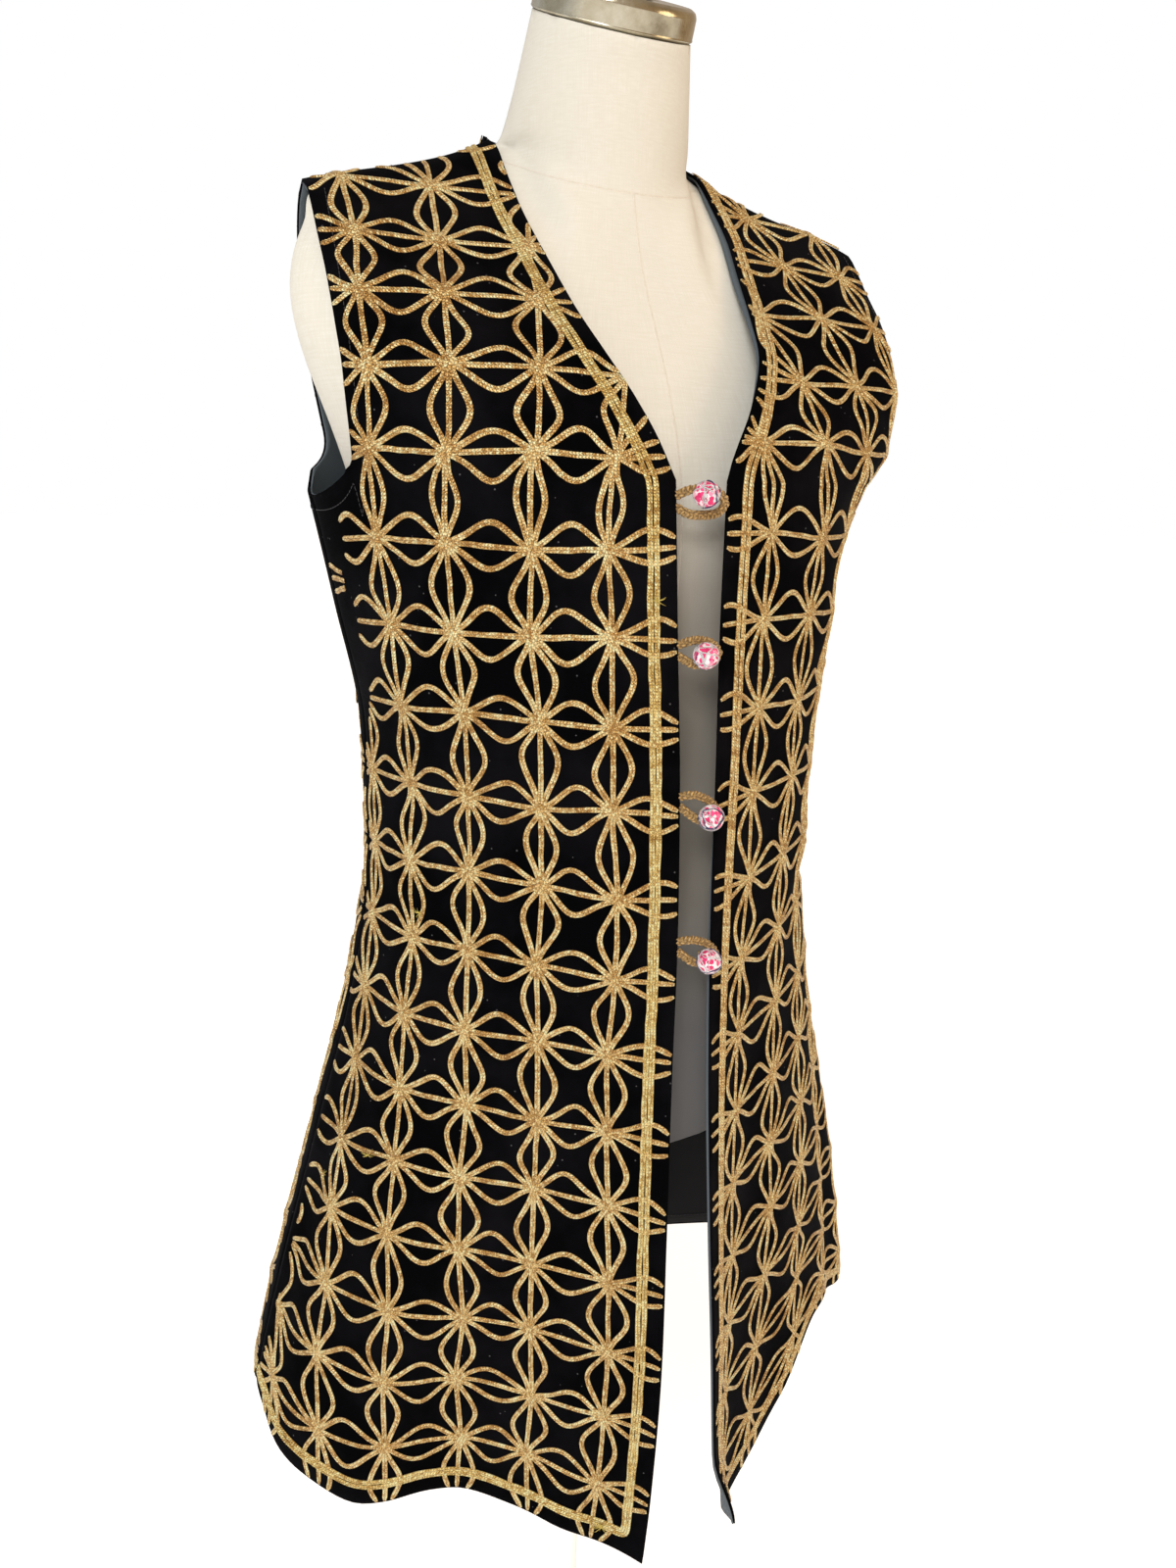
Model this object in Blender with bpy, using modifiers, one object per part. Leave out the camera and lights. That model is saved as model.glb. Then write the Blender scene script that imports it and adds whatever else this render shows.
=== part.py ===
"""Embroidered long vest on a limbless dress form, at its real size.

Metres, +Z up, floor at z = 0. The wearer faces -Y, so the wearer's right side is -X.
The cloth is one computed surface: a yoke that falls from the shoulder line to the chest
line, and a skirt of horizontal sections below it. Each panel is a wall on that surface.
"""

import math

import bmesh
import bpy
import numpy as np
from mathutils import Matrix, Vector

# Driving heights over the floor
CHEST_Z = 1.160  # underarm level, where the neckline also ends
SKIRT_DROP = 0.668  # chest line to side hem
POINT_DROP = 0.050  # how much lower the front points hang than the side hem
DIP_START = 0.060  # drop at which the front hem line starts to dip
POINT_CURVE = 1.5  # how quickly the dip fades from the point toward the side

# Shoulder line: from the neck point to the shoulder tip
NECK_X, NECK_Y, NECK_RISE = 0.071, 0.022, 0.203
TIP_X, TIP_Y, TIP_RISE = 0.191, 0.008, 0.163
NAPE_Y, NAPE_RISE = 0.086, 0.216  # middle of the back neckline
SHOULDER_SAG = 0.004  # how far the shoulder line sags, most at a third of its length
SAG_SHAPE = 6.75  # brings the share * (1 - share)^2 of that curve to 1 where it is deepest

# Cloth
VELVET = 0.0015
LINING = 0.0010
SEAM_GAP = 0.0003
LINING_INSET = 0.0020
HALF_SECTION = 0.260  # length of half a section at the chest

# Armhole, in shares of the front and back section
ARM_FRONT, ARM_BACK = 0.76, 0.70
ARM_CORNER = {"front": 0.94, "back": 0.84}  # level at which the armhole starts to round
ARM_SQUARE = {"front": 0.6, "back": 0.8}  # 1 rounds it as an ellipse, less makes it squarer
ARM_BOTTOM = 0.016  # drop of the underarm point below the chest line
ARM_LATE = {"front": 3.0, "back": 1.3}  # how late the yoke draws in from the shoulder width
ROWS_NEAR_TOP = 1.6  # how much closer the grid's rows lie near the shoulder line
ARM_ROWS_NEAR_TOP = 1.25  # the same along the armhole

# Closure: how far each ball lies below the chest line, and how much higher its loop starts
CLOSURE_COLUMNS = ("drop", "ball_x", "root_rise")
CLOSURE = (
    (0.0075, -0.0045, 0.0000),
    (0.0950, -0.0030, 0.0015),
    (0.1830, 0.0020, 0.0070),
    (0.2660, 0.0035, 0.0060),
)
BALL_RADIUS = 0.0080
SHANK_RADIUS = 0.0016
CORD_RADIUS = 0.0027
LOOP_HALF_HEIGHT = 0.0072
LOOP_LIFT = 0.0030  # how far the loops stand before the front edges
LOOP_ROOT_HALF = 0.0034  # half the height at which a loop's two cords are sewn on
LOOP_SEWN = 0.0022  # how much of each cord is sewn down
LOOP_SEWN_HALF = 0.0038  # half the height where it leaves the cloth
LOOP_OPEN = 0.0070  # from the root to where the loop has opened
LOOP_OPEN_SHARE = 0.92  # how far it has opened there
LOOP_ROUND = 0.0050  # from there to its outer end the loop rounds off
LOOP_ROUND_SHARE = 0.82  # how open it still is where it starts to
BALL_OVER_LOOP = 0.0098  # from the loop's plane to the ball's centre
LOOP_PAST_BALL = 0.0125  # from the ball's centre to the loop's outer end
EDGE_GAP = 0.0004
SHANK_START = 0.0014  # how far behind the loop's plane a shank starts to turn sideways
SHANK_BEND = (0.0006, 0.0008)  # on its bend: how far past the ball, and how far before its seat
SHANK_TURNED = 0.0025  # how far past the ball it has turned
SHANK_SEWN = 0.0020  # how much of it is sewn to the edge

# Dress form and stand
FORM_CLEARANCE = 0.0012  # left between the form's shoulder line and the lining
FORM_HOLLOW = 0.0014  # left between them everywhere else, at the least
CAP_TILT = math.radians(23.0)
CAP_REACH = 0.0012  # how far the cap's band stands out round the neck
CAP_HEIGHT = 0.0165
CAP_DOME = 0.0015  # how far its top stands over its band
CAP_ROUND = 0.0020  # rounding of its upper edge
CAP_LIP = 0.0012  # bevel of its lower edge
POLE_RADIUS = 0.0125
POLE_FLANGE = 0.026  # radius of the flange under the torso
POLE_FLANGE_HEIGHT = 0.010
POLE_NECK_HEIGHT = 0.016  # under the torso, where the flange has narrowed to the pole
BASE_RADIUS = 0.155
BASE_THICKNESS = 0.014
BASE_RIM = 0.005  # height over which the rim rounds off
BASE_FOOT = 0.0015  # bevel of the rim's lower edge
HUB_HEIGHT = 0.010  # how far the hub round the pole stands over the base
HUB_RADIUS = 0.024
HUB_FOOT = (0.030, 0.003)  # radius where it meets the base, and height over it

# Outline of the wooden knob, from its top to its seat
KNOB = (  # radius, height over the seat
    (0.0000, 0.044),
    (0.0080, 0.042),
    (0.0145, 0.035),
    (0.0165, 0.027),
    (0.0145, 0.019),
    (0.0095, 0.012),
    (0.0085, 0.008),
    (0.0210, 0.005),
    (0.0225, 0.002),
    (0.0220, 0.000),
    (0.0000, 0.000),
)

# Sections of the skirt
SKIRT_COLUMNS = ("drop", "half_width", "front", "back", "keel", "opening")
SKIRT = (
    (0.000, 0.196, 0.143, 0.111, 2.0, 0.0175),
    (0.082, 0.178, 0.149, 0.109, 8.0, 0.0150),
    (0.164, 0.162, 0.157, 0.107, 14.0, 0.0130),
    (0.246, 0.160, 0.162, 0.108, 20.0, 0.0120),
    (0.344, 0.175, 0.168, 0.114, 29.0, 0.0140),
    (0.443, 0.201, 0.177, 0.124, 38.0, 0.0170),
    (0.541, 0.226, 0.186, 0.135, 47.0, 0.0210),
    (0.620, 0.243, 0.189, 0.146, 55.0, 0.0260),
    (0.668, 0.251, 0.191, 0.151, 58.0, 0.0310),
)

# How much lower the hem hangs, for each share of the section
HEM_COLUMNS = ("share", "front_right", "front_left", "back")
HEM = (
    (0.00, -0.0080, -0.0100, 0.0325),
    (0.10, -0.0030, 0.0100, 0.0325),
    (0.20, 0.0000, 0.0240, 0.0325),
    (0.30, -0.0035, 0.0220, 0.0325),
    (0.42, -0.0060, 0.0020, 0.0325),
    (0.50, -0.0015, -0.0200, 0.0320),
    (0.60, 0.0100, -0.0310, 0.0300),
    (0.68, 0.0150, -0.0260, 0.0280),
    (0.80, 0.0085, -0.0100, 0.0020),
    (0.88, 0.0000, -0.0030, -0.0150),
    (1.00, -0.0280, -0.0280, -0.0280),
)
WAVE_START = 0.420  # drop at which this wave of the hem begins

# How far the yoke has come forward or back, for each share of its fall
YOKE_COLUMNS = ("fall", "front_neck", "front_arm", "back_neck", "back_arm")
YOKE = (
    (0.00, 0.000, 0.00, 0.00, 0.00),
    (0.03, 0.075, 0.18, 0.11, 0.18),
    (0.11, 0.165, 0.37, 0.34, 0.42),
    (0.20, 0.270, 0.54, 0.54, 0.60),
    (0.35, 0.435, 0.82, 0.78, 0.84),
    (0.52, 0.640, 1.03, 0.97, 0.98),
    (0.67, 0.820, 1.14, 1.07, 1.04),
    (0.84, 0.945, 1.11, 1.07, 1.03),
    (1.00, 1.000, 1.00, 1.00, 1.00),
)

# Half the width of the neckline's V, for each share of the yoke's fall
V_COLUMNS = ("fall", "half_width")
V_NECK = (
    (0.00, 0.0710),
    (0.20, 0.0700),
    (0.40, 0.0635),
    (0.60, 0.0550),
    (0.80, 0.0370),
    (0.90, 0.0265),
    (1.00, 0.0175),
)

# Sections of the dress form, by height over the chest line
FORM_COLUMNS = (
    "rise", "half_width", "front", "back", "power", "middle", "neck_width", "neck_front", "neck_back"
)
FORM = (
    (-0.445, 0.147, 0.116, 0.100, 2.3, 0.000, 0.0, 0.0, 0.0),
    (-0.400, 0.153, 0.119, 0.103, 2.3, 0.000, 0.0, 0.0, 0.0),
    (-0.320, 0.155, 0.118, 0.102, 2.3, 0.000, 0.0, 0.0, 0.0),
    (-0.250, 0.142, 0.107, 0.094, 2.2, 0.000, 0.0, 0.0, 0.0),
    (-0.190, 0.131, 0.101, 0.089, 2.2, 0.000, 0.0, 0.0, 0.0),
    (-0.120, 0.139, 0.112, 0.091, 2.2, 0.000, 0.0, 0.0, 0.0),
    (-0.050, 0.155, 0.126, 0.096, 2.2, 0.000, 0.0, 0.0, 0.0),
    (0.000, 0.168, 0.120, 0.098, 2.3, 0.000, 0.0, 0.0, 0.0),
    (0.035, 0.181, 0.107, 0.098, 2.4, 0.000, 0.0, 0.0, 0.0),
    (0.070, 0.196, 0.090, 0.094, 2.4, 0.001, 0.0, 0.0, 0.0),
    (0.100, 0.203, 0.073, 0.088, 2.3, 0.0030, 0.0, 0.0, 0.0),
    (0.125, 0.201, 0.061, 0.080, 2.2, 0.0050, 0.0, 0.0, 0.0),
    (0.145, 0.192, 0.055, 0.072, 2.1, 0.0060, 0.0, 0.0, 0.0),
    (0.155, 0.189, 0.052, 0.065, 2.0, 0.0070, 0.050, 0.0480, 0.0460),
    (0.160, 0.200, 0.050, 0.059, 2.0, 0.0081, 0.052, 0.0500, 0.0480),
    (0.167, 0.178, 0.046, 0.051, 1.9, 0.0105, 0.055, 0.0528, 0.0500),
    (0.177, 0.148, 0.041, 0.040, 1.7, 0.0141, 0.057, 0.0562, 0.0520),
    (0.187, 0.118, 0.033, 0.028, 1.5, 0.0176, 0.0600, 0.0596, 0.0550),
    (0.192, 0.101, 0.028, 0.025, 1.4, 0.0193, 0.0612, 0.0614, 0.0560),
    (0.197, 0.084, 0.023, 0.023, 1.4, 0.0211, 0.0620, 0.0634, 0.0565),
    (0.2025, 0.060, 0.020, 0.020, 2.0, 0.0203, 0.0620, 0.0630, 0.0570),
    (0.213, 0.040, 0.010, 0.010, 2.0, 0.0160, 0.0600, 0.0598, 0.0560),
    (0.226, 0.035, 0.010, 0.010, 2.0, 0.0117, 0.0575, 0.0572, 0.0550),
    (0.236, 0.030, 0.010, 0.010, 2.0, 0.0083, 0.0557, 0.0553, 0.0538),
    (0.2705, 0.020, 0.010, 0.010, 2.0, -0.0030, 0.0494, 0.0494, 0.0494),
)

# Grid of a panel
YOKE_ROWS = 9
SKIRT_ROWS = 13
PANEL_COLUMNS = 10
NECK_COLUMNS = 4
FORM_SIDES = 48

# Finishes: colour, roughness, metallic
FINISHES = {
    "velvet": ((0.006, 0.006, 0.010), 0.90, 0.0),
    "lining": ((0.100, 0.125, 0.150), 0.70, 0.0),
    "ball": ((0.750, 0.120, 0.260), 0.75, 0.0),
    "cord": ((0.330, 0.200, 0.080), 0.60, 0.2),
    "linen": ((0.860, 0.800, 0.700), 0.90, 0.0),
    "bronze": ((0.260, 0.210, 0.120), 0.40, 0.9),
    "knob": ((0.050, 0.040, 0.035), 0.35, 0.0),
    "steel": ((0.900, 0.900, 0.890), 0.40, 0.0),
}


# ---------------------------------------------------------------- helpers


def table(columns, rows):
    return {name: np.array([row[i] for row in rows]) for i, name in enumerate(columns)}


def smooth(at, xs, ys):
    """A smooth curve through a table's points, without overshoot between them."""
    at = np.clip(np.asarray(at, float), xs[0], xs[-1])
    steps = np.diff(xs)
    rises = np.diff(ys) / steps
    inner = np.where(rises[:-1] * rises[1:] > 0, 2 * rises[:-1] * rises[1:], 0.0)
    inner = inner / np.where(inner == 0, 1.0, rises[:-1] + rises[1:])
    slopes = np.concatenate([rises[:1], inner, rises[-1:]])
    cell = np.clip(np.searchsorted(xs, at, side="right") - 1, 0, len(steps) - 1)
    width = steps[cell]
    u = (at - xs[cell]) / width
    keep = (1 + 2 * u) * (1 - u) ** 2 * ys[cell] + u * u * (3 - 2 * u) * ys[cell + 1]
    return keep + width * (u * (1 - u) ** 2 * slopes[cell] - u * u * (1 - u) * slopes[cell + 1])


def unit(vectors):
    return vectors / np.linalg.norm(vectors, axis=-1, keepdims=True)


SKIRT_TABLE = table(SKIRT_COLUMNS, SKIRT)
YOKE_TABLE = table(YOKE_COLUMNS, YOKE)
V_TABLE = table(V_COLUMNS, V_NECK)
HEM_TABLE = table(HEM_COLUMNS, HEM)
FORM_TABLE = table(FORM_COLUMNS, FORM)


def kind_of(side):
    """A side is front_right, front_left or back; its kind is front or back."""
    return side.split("_")[0]


def skirt_size(drop, name):
    return smooth(drop, SKIRT_TABLE["drop"], SKIRT_TABLE[name])


# ---------------------------------------------------------------- the cloth's surface

FINE = np.linspace(0.0, 1.0, 65)
BEZIER = np.stack([(1 - FINE) ** 3, 3 * FINE * (1 - FINE) ** 2, 3 * FINE**2 * (1 - FINE), FINE**3])
SIDE_HANDLE, BACK_HANDLE = 0.55, 0.60


def section(drop, side):
    """Half a horizontal section as 65 points (x, y), from the middle to the side seam."""
    width = float(skirt_size(drop, "half_width"))
    if kind_of(side) == "back":
        depth = float(skirt_size(drop, "back"))
        corners = [(0, depth), (BACK_HANDLE * width, depth), (width, BACK_HANDLE * depth), (width, 0)]
    else:
        depth = float(skirt_size(drop, "front"))
        keel = math.radians(float(skirt_size(drop, "keel")))
        start = float(skirt_size(drop, "opening"))
        reach = SIDE_HANDLE * (width - start)
        first = (start + reach * math.cos(keel), -depth + reach * math.sin(keel))
        corners = [(start, -depth), first, (width, -SIDE_HANDLE * depth), (width, 0)]
    return BEZIER.T @ np.array(corners)


def along(curve, share):
    """Points at these shares of a curve's length."""
    lengths = np.concatenate([[0], np.cumsum(np.linalg.norm(np.diff(curve, axis=0), axis=1))])
    at = np.asarray(share) * lengths[-1]
    return np.stack([np.interp(at, lengths, curve[:, axis]) for axis in range(curve.shape[1])], -1)


CHEST = {kind: section(0.0, kind) for kind in ("front", "back")}
ARM = {"front": ARM_FRONT, "back": ARM_BACK}
TIP_SPREAD = {kind: TIP_X / along(CHEST[kind], ARM[kind])[0] for kind in CHEST}


def shoulder_line(x):
    """The shoulder line over x: how far back it lies and its rise over the chest line."""
    share = (x - NECK_X) / (TIP_X - NECK_X)
    inside = np.clip(share, 0, 1)
    sag = SHOULDER_SAG * SAG_SHAPE * inside * (1 - inside) ** 2
    return NECK_Y + share * (TIP_Y - NECK_Y), NECK_RISE + share * (TIP_RISE - NECK_RISE) - sag


def top_of(side, share):
    """The yoke's upper edge as points (x, y, rise): the shoulder line, and on the back the neckline."""
    kind = kind_of(side)
    x = along(CHEST[kind], share)[..., 0] * TIP_SPREAD[kind]
    y, rise = shoulder_line(x)
    if kind == "back":
        angle = np.arccos(np.clip(x / NECK_X, 0, 1))
        behind = x < NECK_X
        y = np.where(behind, NECK_Y + (NAPE_Y - NECK_Y) * np.sin(angle), y)
        rise = np.where(behind, NECK_RISE + (NAPE_RISE - NECK_RISE) * np.sqrt(np.sin(angle)), rise)
    return np.stack([x, y, rise], -1)


def yoke(side, share, fall):
    """Points of the yoke at shares of the section and of the fall to the chest line."""
    kind = kind_of(side)
    share, fall = np.broadcast_arrays(np.asarray(share, float), np.asarray(fall, float))
    top, chest = top_of(side, share), along(CHEST[kind], share)
    toward_arm = np.clip(share / ARM[kind], 0, 1) ** 2
    near_neck = smooth(fall, YOKE_TABLE["fall"], YOKE_TABLE[kind + "_neck"])
    near_arm = smooth(fall, YOKE_TABLE["fall"], YOKE_TABLE[kind + "_arm"])
    outward = near_neck + (near_arm - near_neck) * toward_arm
    x = top[..., 0] + (chest[..., 0] - top[..., 0]) * fall ** ARM_LATE[kind]
    y = top[..., 1] + (chest[..., 1] - top[..., 1]) * outward
    return np.stack([x, y, CHEST_Z + top[..., 2] * (1 - fall)], -1)


def skirt(side, share, drop):
    """Points of the skirt at shares of the section and at drops below the chest line."""
    share, drop = np.broadcast_arrays(np.asarray(share, float), np.asarray(drop, float))
    flat = [np.append(along(section(d, side), s), d) for s, d in zip(share.flat, drop.flat)]
    points = np.array(flat).reshape(share.shape + (3,))
    waved = np.clip((drop - WAVE_START) / (SKIRT_DROP - WAVE_START), 0, 1) ** 2
    dip = waved * smooth(share, HEM_TABLE["share"], HEM_TABLE[side])
    if kind_of(side) == "front":
        lowered = np.clip((drop - DIP_START) / (SKIRT_DROP - DIP_START), 0, 1)
        dip = dip + POINT_DROP * lowered * (1 - share) ** POINT_CURVE
    points[..., 2] = CHEST_Z - drop - dip
    return points


def surface(side, share, level):
    """Level 0 is the shoulder line, 1 the chest line and 2 the hem."""
    share, level = np.broadcast_arrays(np.asarray(share, float), np.asarray(level, float))
    upper = yoke(side, share, np.clip(level, 0, 1))
    lower = skirt(side, share, np.clip(level - 1, 0, 1) * SKIRT_DROP)
    return np.where((level < 1)[..., None], upper, lower)


def normals_of(side, share, level):
    """Unit vectors that point out of the cloth. On the side and shoulder seams they lie at
    right angles to the Y axis, so that front and back walls meet edge to edge."""
    step = 1e-3
    ahead, behind = np.minimum(share + step, 1), np.maximum(share - step, 0)
    across = surface(side, ahead, level) - surface(side, behind, level)
    lower, upper = np.minimum(level + step, 2), np.maximum(level - step, 0)
    down = surface(side, share, lower) - surface(side, share, upper)
    found = np.cross(across, down) if kind_of(side) == "back" else np.cross(down, across)
    seam_line = np.where((level < step)[..., None], across, down)
    from_middle = np.abs(surface(side, share, level)[..., 0])
    on_seam = (share > 1 - step) | ((level < step) & (from_middle > NECK_X - step))
    seam = np.cross(seam_line, (0.0, 1.0, 0.0))
    seam *= np.sign(seam[..., :1] + 1e-12)
    found = np.where(on_seam[..., None], seam, found)
    return unit(found)


def neckline_share(fall):
    """Share of the front section at which the V of the neckline lies."""
    shares = np.linspace(0, ARM_FRONT, 129)
    wanted = smooth(fall, V_TABLE["fall"], V_TABLE["half_width"])
    found = [np.interp(w, yoke("front_right", shares, f)[:, 0], shares) for w, f in zip(wanted, fall)]
    return np.where(fall >= 1, 0.0, np.array(found))


def grid_falls():
    """Shares of the yoke's fall at the grid's rows."""
    return np.linspace(0, 1, YOKE_ROWS + 1) ** ROWS_NEAR_TOP


def armhole(side):
    """The armhole's edge as (share, level) at the grid's rows, from shoulder tip to side seam."""
    turn = np.linspace(0, math.pi / 2, 17)
    start, corner, square = ARM[kind_of(side)], ARM_CORNER[kind_of(side)], ARM_SQUARE[kind_of(side)]
    outward = 1 - np.maximum(np.cos(turn), 0) ** square
    downward = np.sin(turn) ** square
    shares = np.concatenate([[start], start + (1 - start) * outward])
    bottom = 1 + ARM_BOTTOM / SKIRT_DROP
    levels = np.concatenate([[0], corner + (bottom - corner) * downward])
    fine = along(np.stack([shares, levels], 1), np.linspace(0, 1, 129))
    steps = np.linalg.norm(np.diff(surface(side, *fine.T), axis=0), axis=1)
    placed = np.concatenate([[0], np.cumsum(steps)])
    at = placed[-1] * np.linspace(0, 1, YOKE_ROWS + 1) ** ARM_ROWS_NEAR_TOP
    return np.stack([np.interp(at, placed, fine[:, k]) for k in (0, 1)], -1)


def front_grid():
    """Shares and levels of a front panel: rows from shoulder to hem, columns from its front edge."""
    rows = YOKE_ROWS + SKIRT_ROWS + 1
    inner, outer = np.zeros((rows, 2)), np.ones((rows, 2))
    falls = grid_falls()
    inner[: YOKE_ROWS + 1] = np.stack([neckline_share(falls), falls], 1)
    outer[: YOKE_ROWS + 1] = armhole("front_right")
    inner[YOKE_ROWS:, 1] = np.linspace(1, 2, SKIRT_ROWS + 1)
    outer[YOKE_ROWS:, 1] = np.linspace(outer[YOKE_ROWS, 1], 2, SKIRT_ROWS + 1)
    share = np.linspace(0, 1, PANEL_COLUMNS + 1)[None, :, None]
    grid = inner[:, None] + (outer - inner)[:, None] * share
    return grid[..., 0], grid[..., 1]


def back_grid():
    """The same for half of the back, its columns from the middle to the side."""
    rows = YOKE_ROWS + SKIRT_ROWS + 1
    shares = np.linspace(0, ARM_BACK, 129)
    neck_share = np.interp(NECK_X, top_of("back", shares)[:, 0], shares) / ARM_BACK
    to_neck = np.linspace(0, neck_share, NECK_COLUMNS + 1)
    to_arm = np.linspace(neck_share, 1, PANEL_COLUMNS - NECK_COLUMNS + 1)[1:]
    spread = np.concatenate([to_neck, to_arm])
    inner, outer = np.zeros((rows, 2)), np.ones((rows, 2))
    inner[: YOKE_ROWS + 1, 1] = grid_falls()
    outer[: YOKE_ROWS + 1] = armhole("back")
    inner[YOKE_ROWS:, 1] = np.linspace(1, 2, SKIRT_ROWS + 1)
    outer[YOKE_ROWS:, 1] = np.linspace(outer[YOKE_ROWS, 1], 2, SKIRT_ROWS + 1)
    grid = inner[:, None] + (outer - inner)[:, None] * spread[None, :, None]
    return grid[..., 0], grid[..., 1]


def mirrored(points):
    return points * np.array([-1.0, 1.0, 1.0])


def whole_back(points):
    """Both halves of the back as one grid, from the wearer's right side to the left."""
    return np.concatenate([mirrored(points[:, :0:-1]), points], axis=1)


# ---------------------------------------------------------------- solids


def finish_of(name):
    """A Principled material with the named finish."""
    made = bpy.data.materials.get(name)
    if made is None:
        colour, roughness, metallic = FINISHES[name]
        made = bpy.data.materials.new(name)
        made.use_nodes = True
        shader = made.node_tree.nodes["Principled BSDF"]
        shader.inputs["Base Color"].default_value = (*colour, 1.0)
        shader.inputs["Roughness"].default_value = roughness
        shader.inputs["Metallic"].default_value = metallic
        made.diffuse_color = (*colour, 1.0)
    return made


def add_object(name, mesh, finish, collection):
    mesh.shade_smooth()
    mesh.set_sharp_from_angle(angle=math.radians(40))
    made = bpy.data.objects.new(name, mesh)
    made.data.materials.append(finish_of(finish))
    collection.objects.link(made)
    return made


def mesh_from(shape, name):
    bmesh.ops.recalc_face_normals(shape, faces=shape.faces)
    if shape.calc_volume(signed=True) < 0:
        bmesh.ops.reverse_faces(shape, faces=shape.faces)
    mesh = bpy.data.meshes.new(name)
    shape.to_mesh(mesh)
    shape.free()
    return mesh


def wall(name, outer, inner, finish, collection):
    """A cloth wall: a grid laid on the outer points, extruded to the inner points."""
    rows, columns = outer.shape[:2]
    shape = bmesh.new()
    bmesh.ops.create_grid(shape, x_segments=columns - 1, y_segments=rows - 1, size=1.0)

    def row_and_column(vertex):
        along_rows, along_columns = (vertex.co.y + 1) / 2, (vertex.co.x + 1) / 2
        return round(along_rows * (rows - 1)), round(along_columns * (columns - 1))

    outer_vertices = list(shape.verts)
    extruded = bmesh.ops.extrude_face_region(shape, geom=list(shape.faces), use_keep_orig=True)
    inner_vertices = [item for item in extruded["geom"] if isinstance(item, bmesh.types.BMVert)]
    for vertices, points in ((outer_vertices, outer), (inner_vertices, inner)):
        for vertex in vertices:
            vertex.co = Vector(points[row_and_column(vertex)])
    return add_object(name, mesh_from(shape, name), finish, collection)


def turned(name, profile, finish, collection, steps=32):
    """A solid of revolution round Z: the profile's (radius, height) runs from top to bottom."""
    shape = bmesh.new()
    points = [shape.verts.new((radius, 0.0, height)) for radius, height in profile]
    for first, second in zip(points, points[1:]):
        shape.edges.new((first, second))
    mesh = bpy.data.meshes.new(name)
    shape.to_mesh(mesh)
    shape.free()
    made = add_object(name, mesh, finish, collection)
    screw = made.modifiers.new("turn", "SCREW")
    screw.steps = screw.render_steps = steps
    screw.use_merge_vertices = True
    screw.merge_threshold = 0.00002
    screw.use_smooth_shade = True
    return made


def tube(name, points, radius, finish, collection, resolution=1):
    """A round cord along these points, closed at both ends."""
    curve = bpy.data.curves.new(name, "CURVE")
    curve.dimensions = "3D"
    curve.bevel_depth = radius
    curve.bevel_resolution = resolution
    curve.use_fill_caps = True
    spline = curve.splines.new("POLY")
    spline.points.add(len(points) - 1)
    for place, point in zip(spline.points, points):
        place.co = (*point, 1.0)
    made = bpy.data.objects.new(name, curve)
    curve.materials.append(finish_of(finish))
    collection.objects.link(made)
    return made


def rounded_path(corners, count):
    """A smooth path through a few chosen places (Catmull-Rom)."""
    placed = np.asarray(corners, float)
    ends = np.concatenate([2 * placed[:1] - placed[1:2], placed, 2 * placed[-1:] - placed[-2:-1]])
    at = np.linspace(0, len(placed) - 1, count)
    cell = np.minimum(at.astype(int), len(placed) - 2)
    u = (at - cell)[:, None]
    a, b, c, d = (ends[cell + k] for k in range(4))
    bend, turn = 2 * a - 5 * b + 4 * c - d, 3 * b - a - 3 * c + d
    return 0.5 * (2 * b + (c - a) * u + bend * u**2 + turn * u**3)


# ---------------------------------------------------------------- the vest


def seam_shift(points, side, share, level):
    """Half of the seam gap, taken from the edges that meet another panel."""
    away = 0.5 * SEAM_GAP if side == "back" else -0.5 * SEAM_GAP
    shoulder = (level < 1e-6) & (np.abs(points[..., 0]) > NECK_X - 1e-3)
    on_seam = shoulder | (share > 1 - 1e-6)
    moved = points.copy()
    moved[..., 1] += np.where(on_seam, away, 0.0)
    return moved


def panel_points(side, share, level):
    points = seam_shift(surface(side, share, level), side, share, level)
    return points, normals_of(side, share, level)


def inset(side, share, level):
    """The lining's grid: a little short of the hem, and on the fronts of the front edge."""
    drawn = 0.0 if side == "back" else LINING_INSET / HALF_SECTION
    return share + (1 - share) * drawn, np.minimum(level, 2 - LINING_INSET / SKIRT_DROP)


def make_panels(collection):
    lay_out = {"front_right": mirrored, "front_left": np.array, "back": whole_back}
    for side, laid in lay_out.items():
        grid = back_grid() if side == "back" else front_grid()
        points, normals = panel_points(side, *grid)
        wall(side, laid(points), laid(points - normals * VELVET), "velvet", collection)
        points, normals = panel_points(side, *inset(side, *grid))
        outer = points - normals * (VELVET + SEAM_GAP)
        wall(f"lining_{side}", laid(outer), laid(outer - normals * LINING), "lining", collection)


def edge_at(drop):
    """The room beside a front edge round this drop: half the gap, its front y and its middle y."""
    level = 1 + (drop + np.array([0.0, -LOOP_HALF_HEIGHT, LOOP_HALF_HEIGHT])) / SKIRT_DROP
    outer = surface("front_left", np.zeros(3), level)
    inner = outer - normals_of("front_left", np.zeros(3), level) * VELVET
    half = min(outer[:, 0].min(), inner[:, 0].min()) - EDGE_GAP
    return half, outer[0, 1], 0.5 * (outer[0, 1] + inner[0, 1])


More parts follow.
